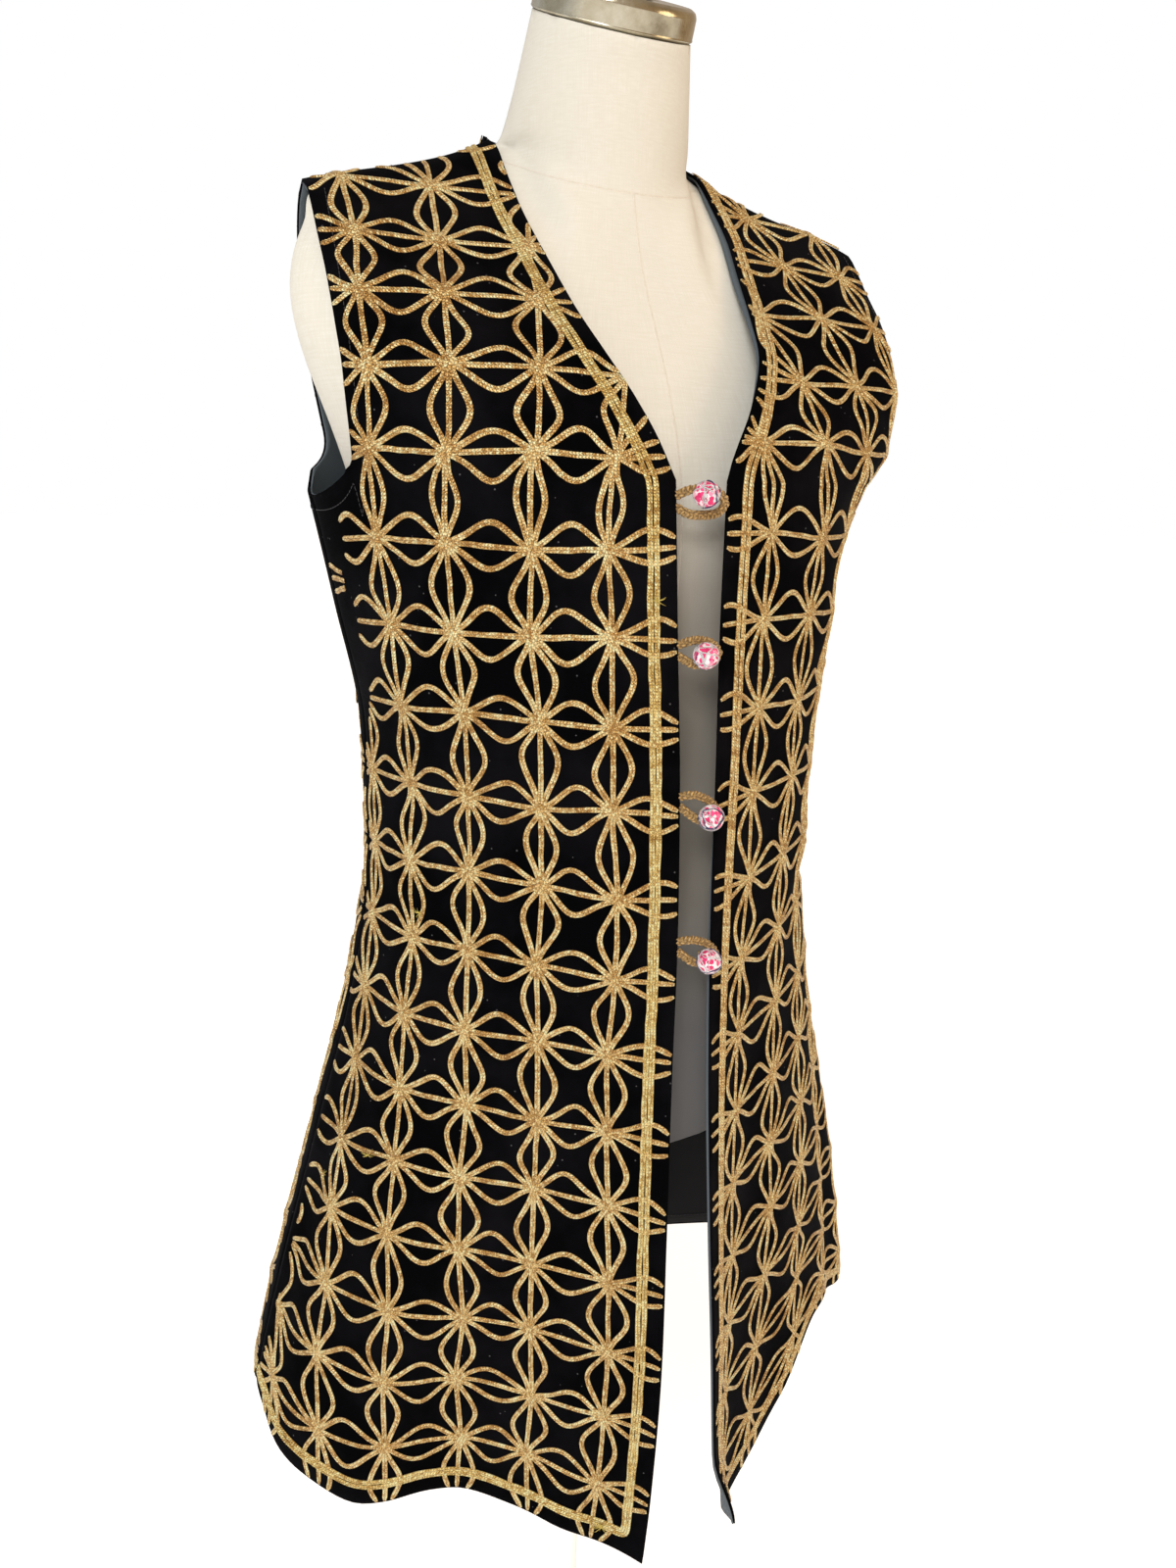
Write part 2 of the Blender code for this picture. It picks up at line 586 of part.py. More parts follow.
def loop_path(start, turn, seat, height, root_rise):
    """A loop from the right front edge round the ball's seat and back, as (x, y, z) places."""
    sewn_y, loop_y = seat
    rise = LOOP_HALF_HEIGHT
    upper = [
        (start, sewn_y, LOOP_ROOT_HALF),
        (start + LOOP_SEWN, sewn_y, LOOP_SEWN_HALF),
        (start + LOOP_OPEN, loop_y, LOOP_OPEN_SHARE * rise),
        (0.5 * (start + turn), loop_y, rise),
        (turn - LOOP_ROUND, loop_y, LOOP_ROUND_SHARE * rise),
    ]
    lower = [(x, y, -z) for x, y, z in reversed(upper)]
    places = np.array(upper + [(turn, loop_y, 0.0)] + lower)
    to_root = np.clip((turn - places[:, 0]) / (turn - start), 0, 1)
    places[:, 2] += height + root_rise * to_root**2 * (3 - 2 * to_root)
    return rounded_path(places, 25)


def make_closure(collection):
    """Balls on short shanks at the left front edge, held in cord loops from the right edge."""
    closures = [dict(zip(CLOSURE_COLUMNS, row)) for row in CLOSURE]
    for number, closure in enumerate(closures, 1):
        height = surface("front_left", 0.0, 1 + closure["drop"] / SKIRT_DROP)[2]
        edge, front_y, shank_y = edge_at(closure["drop"])
        root_edge, root_front, sewn_y = edge_at(closure["drop"] - closure["root_rise"])
        loop_y = min(front_y, root_front) - LOOP_LIFT
        turn = max(edge, closure["ball_x"] + LOOP_PAST_BALL) - CORD_RADIUS
        path = loop_path(-root_edge, turn, (sewn_y, loop_y), height, closure["root_rise"])
        tube(f"loop_{number}", path, CORD_RADIUS, "cord", collection)

        ball_x, ball_y = closure["ball_x"], loop_y - BALL_OVER_LOOP
        shape = bmesh.new()
        bmesh.ops.create_uvsphere(shape, u_segments=14, v_segments=9, radius=BALL_RADIUS)
        bmesh.ops.translate(shape, verts=shape.verts, vec=(ball_x, ball_y, height))
        add_object(f"button_{number}", mesh_from(shape, "ball"), "ball", collection)

        behind = max(loop_y + CORD_RADIUS + SHANK_RADIUS + EDGE_GAP, shank_y)
        path = [
            (ball_x, ball_y + BALL_RADIUS + EDGE_GAP, height),
            (ball_x, loop_y + SHANK_START, height),
            (ball_x + SHANK_BEND[0], behind - SHANK_BEND[1], height),
            (ball_x + SHANK_TURNED, behind, height),
            (edge - SHANK_SEWN, behind, height),
            (edge, behind, height),
        ]
        tube(f"shank_{number}", rounded_path(path, 13), SHANK_RADIUS, "cord", collection)


# ---------------------------------------------------------------- dress form and stand

ROOM_FLARE = 1.0  # how fast the space widens past the armhole's edges, per radian
ROOM_TUCK = 2.0  # how fast it narrows past the neckline's edge, per radian
ROOM_LEAST = 0.86  # share of the edge's reach that is left there
ROOM_OPEN = 0.45  # radians past the neckline's edge at which the throat is free again
ROOM_THROAT = 1.2  # how fast the space widens beyond that, per radian
BLEND = 12.0  # how tightly the form's neck and torso are joined


def under_cloth():
    """The surface that the form may not pass: for each side, the panel grid's columns."""
    found = {}
    for side, grid in (("front_right", front_grid()), ("back", back_grid())):
        clear = np.where(grid[1] > 0, FORM_HOLLOW, FORM_CLEARANCE)[..., None]
        depth = VELVET + SEAM_GAP + LINING + clear
        points = surface(side, *grid) - normals_of(side, *grid) * depth
        found[side] = points.swapaxes(0, 1)
    return found


def cut_at(line, height):
    """Where a falling line of points crosses this height, as (x, y); None where it does not."""
    if not line[0, 2] >= height >= line[-1, 2]:
        return None
    return [np.interp(-height, -line[:, 2], line[:, axis]) for axis in (0, 1)]


def room(cloth, row, angles):
    """How far the form may reach under the cloth at this row's rise, for each angle."""
    height = CHEST_Z + row["rise"]
    turn = np.abs((angles + math.pi) % (2 * math.pi) - math.pi)
    reach = np.full(angles.shape, 1.0)
    for side, columns in cloth.items():
        shoulder = columns[NECK_COLUMNS:, 0] if side == "back" else columns[:, 0]
        cuts = [cut_at(line, height) for line in (*columns, shoulder)]
        cuts = np.array([cut for cut in cuts if cut is not None])
        if len(cuts) < 2:
            continue
        seen = np.arctan2(np.abs(cuts[:, 0]), row["middle"] - cuts[:, 1])
        radius = np.hypot(cuts[:, 0], cuts[:, 1] - row["middle"])
        order = np.argsort(seen)
        seen, radius = seen[order], radius[order]
        limit = np.interp(turn, seen, radius)
        before, after = np.maximum(seen[0] - turn, 0), np.maximum(turn - seen[-1], 0)
        if side == "back":
            limit *= 1 + ROOM_FLARE * before
        else:
            tucked = np.maximum(1 - ROOM_TUCK * before, ROOM_LEAST)
            limit *= tucked + ROOM_THROAT * np.maximum(before - ROOM_OPEN, 0) + ROOM_FLARE * after
        reach = np.minimum(reach, limit)
    return reach


def form_section(cloth, row, angles):
    """A section of the form: its torso, smoothly joined with its neck, as points (x, y)."""
    depth = np.where(np.cos(angles) > 0, row["front"], row["back"])
    across, forward = np.abs(np.sin(angles)), np.abs(np.cos(angles))
    power = row["power"]
    torso = 1 / ((across / row["half_width"]) ** power + (forward / depth) ** power) ** (1 / power)
    radius = torso
    if row["neck_width"] > 0:
        neck_depth = np.where(np.cos(angles) > 0, row["neck_front"], row["neck_back"])
        neck = 1 / np.hypot(across / row["neck_width"], forward / neck_depth)
        radius = (torso**BLEND + neck**BLEND) ** (1 / BLEND)
    radius = np.minimum(radius, room(cloth, row, angles))
    return np.stack([radius * np.sin(angles), row["middle"] - radius * np.cos(angles)], -1)


def make_form(collection):
    """The form's torso and neck: a loft through its sections, closed below and above."""
    cloth = under_cloth()
    rises = FORM_TABLE["rise"]
    angles = np.linspace(0, 2 * math.pi, FORM_SIDES, endpoint=False)
    shape = bmesh.new()
    rings = []
    for k, rise in enumerate(rises):
        row = {name: values[k] for name, values in FORM_TABLE.items()}
        points = form_section(cloth, row, angles)
        lean = 0.0 if rise < rises[-1] else math.tan(CAP_TILT)
        heights = CHEST_Z + rise + lean * (points[:, 1] - row["middle"])
        ring = [shape.verts.new((x, y, z)) for (x, y), z in zip(points, heights)]
        rings.append(ring)
    for lower, upper in zip(rings, rings[1:]):
        for i in range(FORM_SIDES):
            j = (i + 1) % FORM_SIDES
            shape.faces.new((lower[i], lower[j], upper[j], upper[i]))
    shape.faces.new(rings[0][::-1])
    shape.faces.new(rings[-1])
    return add_object("form_torso", mesh_from(shape, "form_torso"), "linen", collection)


def make_stand(collection):
    top = {name: values[-1] for name, values in FORM_TABLE.items()}
    cap_radius = top["neck_width"] + CAP_REACH
    tilt = Matrix.Rotation(CAP_TILT, 4, "X")
    seat = Vector((0.0, top["middle"], CHEST_Z + top["rise"]))

    cap = turned(
        "neck_cap",
        [
            (0.0, CAP_HEIGHT + CAP_DOME),
            (cap_radius - 2 * CAP_ROUND, CAP_HEIGHT + CAP_DOME),
            (cap_radius - 0.5 * CAP_ROUND, CAP_HEIGHT),
            (cap_radius, CAP_HEIGHT - CAP_ROUND),
            (cap_radius, SEAM_GAP + CAP_LIP),
            (cap_radius - CAP_LIP, SEAM_GAP),
            (0.0, SEAM_GAP),
        ],
        "bronze",
        collection,
    )
    cap.matrix_world = Matrix.Translation(seat) @ tilt

    knob_seat = CAP_HEIGHT + CAP_DOME + SEAM_GAP
    outline = [(radius, knob_seat + height) for radius, height in KNOB]
    knob = turned("cap_knob", outline, "knob", collection, steps=24)
    knob.matrix_world = Matrix.Translation(seat) @ tilt

    pole_top = CHEST_Z + FORM_TABLE["rise"][0] - SEAM_GAP
    hub_top = BASE_THICKNESS + HUB_HEIGHT
    turned(
        "pole",
        [
            (0.0, pole_top),
            (POLE_FLANGE, pole_top),
            (POLE_FLANGE, pole_top - POLE_FLANGE_HEIGHT),
            (POLE_RADIUS, pole_top - POLE_NECK_HEIGHT),
            (POLE_RADIUS, hub_top + SEAM_GAP),
            (0.0, hub_top + SEAM_GAP),
        ],
        "steel",
        collection,
        steps=24,
    )
    turned(
        "stand_base",
        [
            (0.0, hub_top),
            (HUB_RADIUS, hub_top),
            (HUB_FOOT[0], BASE_THICKNESS + HUB_FOOT[1]),
            (BASE_RADIUS - 4 * BASE_RIM, BASE_THICKNESS - 0.2 * BASE_RIM),
            (BASE_RADIUS - 0.8 * BASE_RIM, BASE_THICKNESS - BASE_RIM),
            (BASE_RADIUS, BASE_THICKNESS - 1.8 * BASE_RIM),
            (BASE_RADIUS, BASE_FOOT),
            (BASE_RADIUS - BASE_FOOT, 0.0),
            (0.0, 0.0),
        ],
        "steel",
        collection,
        steps=40,
    )


def main():
    for old in list(bpy.data.objects):
        bpy.data.objects.remove(old, do_unlink=True)
    collection = bpy.data.collections.new("embroidered_vest")
    bpy.context.scene.collection.children.link(collection)
    make_form(collection)
    make_stand(collection)
    make_panels(collection)
    make_closure(collection)


main()
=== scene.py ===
# %% [markdown]
# # A velvet vest worked in gold chain stitch, on a dress form
#
# This notebook dresses a measured frame. The vest is a long sleeveless coat of black cotton
# velvet, lined in slate cotton, and covered with a lattice of gold chain stitch. It rests on a
# linen dress form with a brass cap, a pole and a round foot.
#
# The frame is loaded first and never moved. Every piece made here is given the same place as
# the frame's node that it stands for, so it is built from the same pattern of named sizes.

# %% Load the frame
import math

import bmesh
import bpy
import numpy as np
from mathutils import Matrix, Vector
from mathutils.bvhtree import BVHTree


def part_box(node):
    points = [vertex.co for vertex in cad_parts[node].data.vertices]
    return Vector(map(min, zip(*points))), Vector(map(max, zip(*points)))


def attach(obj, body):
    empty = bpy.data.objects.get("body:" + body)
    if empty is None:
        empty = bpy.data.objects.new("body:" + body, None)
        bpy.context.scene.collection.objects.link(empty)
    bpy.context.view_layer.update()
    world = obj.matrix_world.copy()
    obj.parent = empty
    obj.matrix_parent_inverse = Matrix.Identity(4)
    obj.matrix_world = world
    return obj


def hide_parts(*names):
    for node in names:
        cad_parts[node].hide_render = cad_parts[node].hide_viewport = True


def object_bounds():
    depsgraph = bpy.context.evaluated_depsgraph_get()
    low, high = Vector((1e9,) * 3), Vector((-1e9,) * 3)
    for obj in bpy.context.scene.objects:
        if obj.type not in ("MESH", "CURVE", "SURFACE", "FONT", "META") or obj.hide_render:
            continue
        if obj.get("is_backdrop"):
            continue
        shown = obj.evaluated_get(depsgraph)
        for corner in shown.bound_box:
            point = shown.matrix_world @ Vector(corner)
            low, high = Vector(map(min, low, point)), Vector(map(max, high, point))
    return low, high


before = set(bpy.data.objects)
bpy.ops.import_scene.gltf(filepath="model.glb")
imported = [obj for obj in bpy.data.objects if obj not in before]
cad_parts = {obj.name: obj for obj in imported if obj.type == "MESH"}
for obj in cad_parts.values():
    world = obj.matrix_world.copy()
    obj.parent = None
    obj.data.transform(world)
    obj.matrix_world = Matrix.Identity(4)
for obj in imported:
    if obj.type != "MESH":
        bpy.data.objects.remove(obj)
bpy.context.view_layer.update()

# %% [markdown]
# ## The camera
#
# The camera stands at a distance from the pole's axis and some way round it, at the height of
# the chest. Three angles turn it: where it looks round the compass, how far down, and how far it
# leans to one side. From those come the directions of its own axes: ahead, right and up. The
# sensor's long side is 36 mm, so the focal length says how wide the view is.

# %% Camera
LENS = 26.84
CAMERA_DISTANCE, CAMERA_Z = 0.820, 1.1575
CAMERA_ROUND = math.radians(25.3)
LOOK_ROUND = math.radians(25.4)
LOOK_DOWN = math.radians(14.5)
CAMERA_LEAN = math.radians(1.8)
CAMERA_PLACE = Vector(
    (-CAMERA_DISTANCE * math.sin(CAMERA_ROUND), -CAMERA_DISTANCE * math.cos(CAMERA_ROUND), CAMERA_Z)
)
CAMERA_AHEAD = Vector(
    (
        math.sin(LOOK_ROUND) * math.cos(LOOK_DOWN),
        math.cos(LOOK_ROUND) * math.cos(LOOK_DOWN),
        -math.sin(LOOK_DOWN),
    )
)
level_right = Vector((math.cos(LOOK_ROUND), -math.sin(LOOK_ROUND), 0.0))
level_up = level_right.cross(CAMERA_AHEAD)
CAMERA_RIGHT = level_right * math.cos(CAMERA_LEAN) + level_up * math.sin(CAMERA_LEAN)

camera = bpy.data.objects.new("camera", bpy.data.cameras.new("camera"))
bpy.context.scene.collection.objects.link(camera)
camera.data.lens = LENS
camera.data.clip_start = 0.01
camera_up = CAMERA_RIGHT.cross(CAMERA_AHEAD)
turn = Matrix((CAMERA_RIGHT, camera_up, -CAMERA_AHEAD)).transposed()
camera.matrix_world = Matrix.Translation(CAMERA_PLACE) @ turn.to_4x4()
bpy.context.scene.camera = camera
print("camera looks down by", round(math.degrees(math.asin(-CAMERA_AHEAD.z)), 1), "degrees")

# %% [markdown]
# ## The pattern of the vest
#
# A tailor would draft flat pieces and sew them. Here the worn shape is drafted directly: a
# skirt made of horizontal sections, and a yoke that joins the chest section to the shoulder
# line. Any place on the cloth then has two numbers, as on a map. The share runs from the front
# edge (or the middle of the back) at 0 to the side seam at 1. The level is 0 at the shoulder, 1
# at the chest line and 2 at the hem.

# %% Sizes of the vest, in metres
CHEST_Z = 1.160
SKIRT_DROP = 0.668
POINT_DROP = 0.050
DIP_START = 0.060
POINT_CURVE = 1.5
NECK_X, NECK_Y, NECK_RISE = 0.071, 0.022, 0.203
TIP_X, TIP_Y, TIP_RISE = 0.191, 0.008, 0.163
NAPE_Y, NAPE_RISE = 0.086, 0.216
SHOULDER_SAG, SAG_SHAPE = 0.004, 6.75
VELVET = 0.0015
LINING = 0.0010
SEAM_GAP = 0.0003
LINING_INSET = 0.0020
ARM = {"front": 0.76, "back": 0.70}
ARM_CORNER = {"front": 0.94, "back": 0.84}
ARM_SQUARE = {"front": 0.6, "back": 0.8}
ARM_BOTTOM = 0.016
ARM_LATE = {"front": 3.0, "back": 1.3}
SIDE_HANDLE, BACK_HANDLE = 0.55, 0.60
WAVE_START = 0.420

SKIRT_COLUMNS = ("drop", "half_width", "front", "back", "keel", "opening")
SKIRT = (
    (0.000, 0.196, 0.143, 0.111, 2.0, 0.0175),
    (0.082, 0.178, 0.149, 0.109, 8.0, 0.0150),
    (0.164, 0.162, 0.157, 0.107, 14.0, 0.0130),
    (0.246, 0.160, 0.162, 0.108, 20.0, 0.0120),
    (0.344, 0.175, 0.168, 0.114, 29.0, 0.0140),
    (0.443, 0.201, 0.177, 0.124, 38.0, 0.0170),
    (0.541, 0.226, 0.186, 0.135, 47.0, 0.0210),
    (0.620, 0.243, 0.189, 0.146, 55.0, 0.0260),
    (0.668, 0.251, 0.191, 0.151, 58.0, 0.0310),
)
HEM_COLUMNS = ("share", "right", "left", "back")
HEM = (
    (0.00, -0.0080, -0.0100, 0.0325),
    (0.10, -0.0030, 0.0100, 0.0325),
    (0.20, 0.0000, 0.0240, 0.0325),
    (0.30, -0.0035, 0.0220, 0.0325),
    (0.42, -0.0060, 0.0020, 0.0325),
    (0.50, -0.0015, -0.0200, 0.0320),
    (0.60, 0.0100, -0.0310, 0.0300),
    (0.68, 0.0150, -0.0260, 0.0280),
    (0.80, 0.0085, -0.0100, 0.0020),
    (0.88, 0.0000, -0.0030, -0.0150),
    (1.00, -0.0280, -0.0280, -0.0280),
)
YOKE_COLUMNS = ("fall", "front_neck", "front_arm", "back_neck", "back_arm")
YOKE = (
    (0.00, 0.000, 0.00, 0.00, 0.00),
    (0.03, 0.075, 0.18, 0.11, 0.18),
    (0.11, 0.165, 0.37, 0.34, 0.42),
    (0.20, 0.270, 0.54, 0.54, 0.60),
    (0.35, 0.435, 0.82, 0.78, 0.84),
    (0.52, 0.640, 1.03, 0.97, 0.98),
    (0.67, 0.820, 1.14, 1.07, 1.04),
    (0.84, 0.945, 1.11, 1.07, 1.03),
    (1.00, 1.000, 1.00, 1.00, 1.00),
)
V_COLUMNS = ("fall", "half_width")
V_NECK = (
    (0.00, 0.0710),
    (0.20, 0.0700),
    (0.40, 0.0635),
    (0.60, 0.0550),
    (0.80, 0.0370),
    (0.90, 0.0265),
    (1.00, 0.0175),
)


# %% Curves through tables
def table(columns, rows):
    return {name: np.array([row[i] for row in rows]) for i, name in enumerate(columns)}


def smooth(at, xs, ys):
    """A smooth curve through a table's points, without overshoot between them."""
    at = np.clip(np.asarray(at, float), xs[0], xs[-1])
    steps = np.diff(xs)
    rises = np.diff(ys) / steps
    inner = np.where(rises[:-1] * rises[1:] > 0, 2 * rises[:-1] * rises[1:], 0.0)
    inner = inner / np.where(inner == 0, 1.0, rises[:-1] + rises[1:])
    slopes = np.concatenate([rises[:1], inner, rises[-1:]])
    cell = np.clip(np.searchsorted(xs, at, side="right") - 1, 0, len(steps) - 1)
    width = steps[cell]
    u = (at - xs[cell]) / width
    keep = (1 + 2 * u) * (1 - u) ** 2 * ys[cell] + u * u * (3 - 2 * u) * ys[cell + 1]
    return keep + width * (u * (1 - u) ** 2 * slopes[cell] - u * u * (1 - u) * slopes[cell + 1])


def unit(vectors):
    return vectors / np.maximum(np.linalg.norm(vectors, axis=-1, keepdims=True), 1e-12)


def ease(at, start, end):
    """0 before start, 1 after end, and a soft step between."""
    t = np.clip((np.asarray(at, float) - start) / (end - start), 0, 1)
    return t * t * (3 - 2 * t)


def along(curve, share):
    """Points at these shares of a curve's length."""
    lengths = np.concatenate([[0], np.cumsum(np.linalg.norm(np.diff(curve, axis=0), axis=1))])
    at = np.asarray(share) * lengths[-1]
    return np.stack([np.interp(at, lengths, curve[:, axis]) for axis in range(curve.shape[1])], -1)


SKIRT_TABLE = table(SKIRT_COLUMNS, SKIRT)
YOKE_TABLE = table(YOKE_COLUMNS, YOKE)
V_TABLE = table(V_COLUMNS, V_NECK)
HEM_TABLE = table(HEM_COLUMNS, HEM)

# %% Sections of the skirt and of the yoke
FINE = np.linspace(0.0, 1.0, 65)
BEZIER = np.stack([(1 - FINE) ** 3, 3 * FINE * (1 - FINE) ** 2, 3 * FINE**2 * (1 - FINE), FINE**3])


def section(drop, side):
    """Half a horizontal section, from the middle to the side seam."""
    size = {name: float(smooth(drop, SKIRT_TABLE["drop"], SKIRT_TABLE[name])) for name in SKIRT_COLUMNS}
    width = size["half_width"]
    if side == "back":
        depth = size["back"]
        corners = [(0, depth), (BACK_HANDLE * width, depth), (width, BACK_HANDLE * depth), (width, 0)]
    else:
        depth, keel, start = size["front"], math.radians(size["keel"]), size["opening"]
        reach = SIDE_HANDLE * (width - start)
        first = (start + reach * math.cos(keel), -depth + reach * math.sin(keel))
        corners = [(start, -depth), first, (width, -SIDE_HANDLE * depth), (width, 0)]
    return BEZIER.T @ np.array(corners)


CHEST = {side: section(0.0, side) for side in ("front", "back")}
TIP_SPREAD = {side: TIP_X / along(CHEST[side], ARM[side])[0] for side in CHEST}


def top_of(side, share):
    """The upper edge as (x, y, rise): the shoulder line, and on the back the neckline."""
    x = along(CHEST[side], share)[..., 0] * TIP_SPREAD[side]
    toward_tip = (x - NECK_X) / (TIP_X - NECK_X)
    y = NECK_Y + toward_tip * (TIP_Y - NECK_Y)
    inside = np.clip(toward_tip, 0, 1)
    sag = SHOULDER_SAG * SAG_SHAPE * inside * (1 - inside) ** 2
    rise = NECK_RISE + toward_tip * (TIP_RISE - NECK_RISE) - sag
    if side == "back":
        angle = np.arccos(np.clip(x / NECK_X, 0, 1))
        behind = x < NECK_X
        y = np.where(behind, NECK_Y + (NAPE_Y - NECK_Y) * np.sin(angle), y)
        rise = np.where(behind, NECK_RISE + (NAPE_RISE - NECK_RISE) * np.sqrt(np.sin(angle)), rise)
    return np.stack([x, y, rise], -1)


def yoke(side, share, fall):
    share, fall = np.broadcast_arrays(np.asarray(share, float), np.asarray(fall, float))
    top, chest = top_of(side, share), along(CHEST[side], share)
    toward_arm = np.clip(share / ARM[side], 0, 1) ** 2
    near_neck = smooth(fall, YOKE_TABLE["fall"], YOKE_TABLE[side + "_neck"])
    near_arm = smooth(fall, YOKE_TABLE["fall"], YOKE_TABLE[side + "_arm"])
    outward = near_neck + (near_arm - near_neck) * toward_arm
    x = top[..., 0] + (chest[..., 0] - top[..., 0]) * fall ** ARM_LATE[side]
    y = top[..., 1] + (chest[..., 1] - top[..., 1]) * outward
    return np.stack([x, y, CHEST_Z + top[..., 2] * (1 - fall)], -1)


def skirt(name, side, shares, drops):
    """The skirt as a grid: one row of points for each drop below the chest line."""
    sections = [along(section(drop, side), shares) for drop in drops]
    rows = [np.column_stack([line, np.full(len(shares), drop)]) for line, drop in zip(sections, drops)]
    rows = np.array(rows)
    drop = rows[..., 2]
    waved = np.clip((drop - WAVE_START) / (SKIRT_DROP - WAVE_START), 0, 1) ** 2
    dip = waved * smooth(shares, HEM_TABLE["share"], HEM_TABLE[name])
    if side == "front":
        lowered = np.clip((drop - DIP_START) / (SKIRT_DROP - DIP_START), 0, 1)
        dip = dip + POINT_DROP * lowered * (1 - shares) ** POINT_CURVE
    rows[..., 2] = CHEST_Z - drop - dip
    return rows


chest_steps = np.linalg.norm(np.diff(CHEST["front"], axis=0), axis=1)
print("half a chest section:", round(float(chest_steps.sum()), 3), "m")

# %% [markdown]
# ## Creases
#
# Worn cloth is never as smooth as its pattern. A cloth simulation could wrinkle it, but the
# thick stitching holds this vest rather flat, so a few soft creases, given one by one, do better:
# each is a ridge or a trough along a line on the cloth, with its own width and height. On the
# map used here, across is counted from the front edge (on the back from its middle, minus
# toward the wearer's right) and down from the shoulder, both in metres of cloth.

# %% Creases
YOKE_LENGTH = 0.235
HALF_SECTION = 0.260
CREASE_COLUMNS = ("across", "down", "to_across", "to_down", "bow", "width", "height")
CREASES = {
    "right": (
        (0.060, 0.110, 0.170, 0.085, 0.006, 0.013, 0.0016),
        (0.175, 0.300, 0.095, 0.245, 0.008, 0.016, 0.0020),
        (0.205, 0.330, 0.165, 0.440, 0.010, 0.014, 0.0028),
        (0.228, 0.430, 0.120, 0.470, 0.010, 0.012, -0.0026),
        (0.228, 0.478, 0.150, 0.500, -0.006, 0.011, 0.0024),
        (0.215, 0.540, 0.262, 0.880, -0.012, 0.020, -0.0090),
        (0.155, 0.520, 0.168, 0.890, 0.010, 0.024, 0.0050),
        (0.105, 0.620, 0.110, 0.900, -0.006, 0.022, -0.0030),
        (0.052, 0.700, 0.050, 0.930, 0.004, 0.018, 0.0022),
        (0.026, 0.380, 0.020, 0.560, 0.003, 0.012, -0.0014),
    ),
    "left": (
        (0.070, 0.070, 0.155, 0.130, 0.010, 0.013, 0.0022),
        (0.030, 0.215, 0.150, 0.160, 0.012, 0.014, 0.0024),
        (0.060, 0.270, 0.170, 0.215, -0.006, 0.013, 0.0018),
        (0.110, 0.360, 0.215, 0.310, 0.006, 0.013, -0.0022),
        (0.225, 0.440, 0.130, 0.480, -0.008, 0.012, 0.0024),
        (0.225, 0.500, 0.110, 0.520, 0.008, 0.012, -0.0024),
        (0.095, 0.520, 0.120, 0.890, 0.012, 0.022, 0.0048),
        (0.165, 0.560, 0.190, 0.890, -0.008, 0.018, -0.0070),
        (0.240, 0.600, 0.262, 0.880, 0.006, 0.020, 0.0040),
        (0.040, 0.640, 0.046, 0.900, 0.005, 0.015, -0.0020),
    ),
    "back": (
        (-0.120, 0.060, 0.110, 0.075, 0.010, 0.014, 0.0016),
        (-0.160, 0.190, -0.050, 0.150, 0.010, 0.015, 0.0018),
        (0.165, 0.180, 0.060, 0.140, -0.010, 0.016, 0.0020),
        (-0.205, 0.400, -0.070, 0.455, 0.012, 0.013, -0.0030),
        (0.200, 0.385, 0.050, 0.440, -0.012, 0.014, -0.0032),
        (-0.190, 0.455, 0.060, 0.500, 0.010, 0.013, 0.0026),
        (0.190, 0.450, -0.020, 0.478, -0.008, 0.012, 0.0024),
        (-0.145, 0.540, -0.190, 0.890, 0.010, 0.024, 0.0062),
        (-0.070, 0.560, -0.088, 0.890, -0.008, 0.022, -0.0060),
        (0.010, 0.530, 0.004, 0.890, 0.010, 0.026, 0.0058),
        (0.085, 0.570, 0.100, 0.890, 0.010, 0.022, -0.0062),
        (0.150, 0.545, 0.180, 0.890, -0.010, 0.024, 0.0058),
        (-0.215, 0.600, -0.262, 0.890, 0.008, 0.020, -0.0040),
        (0.215, 0.590, 0.262, 0.890, -0.008, 0.020, -0.0044),
    ),
}
SEAM_DIP = 0.0009
SEAM_WIDTH = 0.0035


def relief(name, share, level):
    """How far the cloth stands out of its smooth pattern, in metres."""
    across = share * HALF_SECTION
    down = np.where(level < 1, level * YOKE_LENGTH, YOKE_LENGTH + (level - 1) * SKIRT_DROP)
    height = np.zeros(share.shape)
    for row in CREASES[name]:
        crease = dict(zip(CREASE_COLUMNS, row))
        start = np.array([crease["across"], crease["down"]])
        run = np.array([crease["to_across"], crease["to_down"]]) - start
        length = np.hypot(*run)
        ahead = ((across - start[0]) * run[0] + (down - start[1]) * run[1]) / length**2
        aside = ((across - start[0]) * -run[1] + (down - start[1]) * run[0]) / length
        aside = aside - crease["bow"] * np.sin(math.pi * np.clip(ahead, 0, 1))
        fade = ease(ahead, -0.15, 0.30) * ease(-ahead, -1.15, -0.70)
        if crease["to_down"] > 0.87:
            fade = ease(ahead, -0.10, 0.80)
        height += crease["height"] * fade * np.exp(-((aside / crease["width"]) ** 2))
    to_side = (1 - np.abs(share)) * HALF_SECTION
    to_shoulder = level * YOKE_LENGTH
    height *= ease(to_side, 0.0, 0.030) * ease(to_shoulder, 0.0, 0.030)
    height -= SEAM_DIP * np.exp(-((to_side / SEAM_WIDTH) ** 2)) * ease(level, 1.02, 1.03)
    return height


# %% [markdown]
# ## Hanging the cloth
#
# The surface is worked out once on a fine grid and then only looked up. That is much quicker
# than solving the pattern again for every stitch, and it makes certain that velvet, lining and
# stitching all follow the very same creases.

# %% The hung cloth as grids of points and normals
LEVELS = np.concatenate([np.linspace(0, 1, 121) ** 1.6, np.linspace(1, 2, 221)[1:]])
HALF = np.linspace(0, 1, 129)


def smooth_surface(name, side, shares):
    upper = np.array([yoke(side, shares, fall) for fall in LEVELS[:121]])
    lower = skirt(name, side, shares, (LEVELS[121:] - 1) * SKIRT_DROP)
    return np.concatenate([upper, lower])


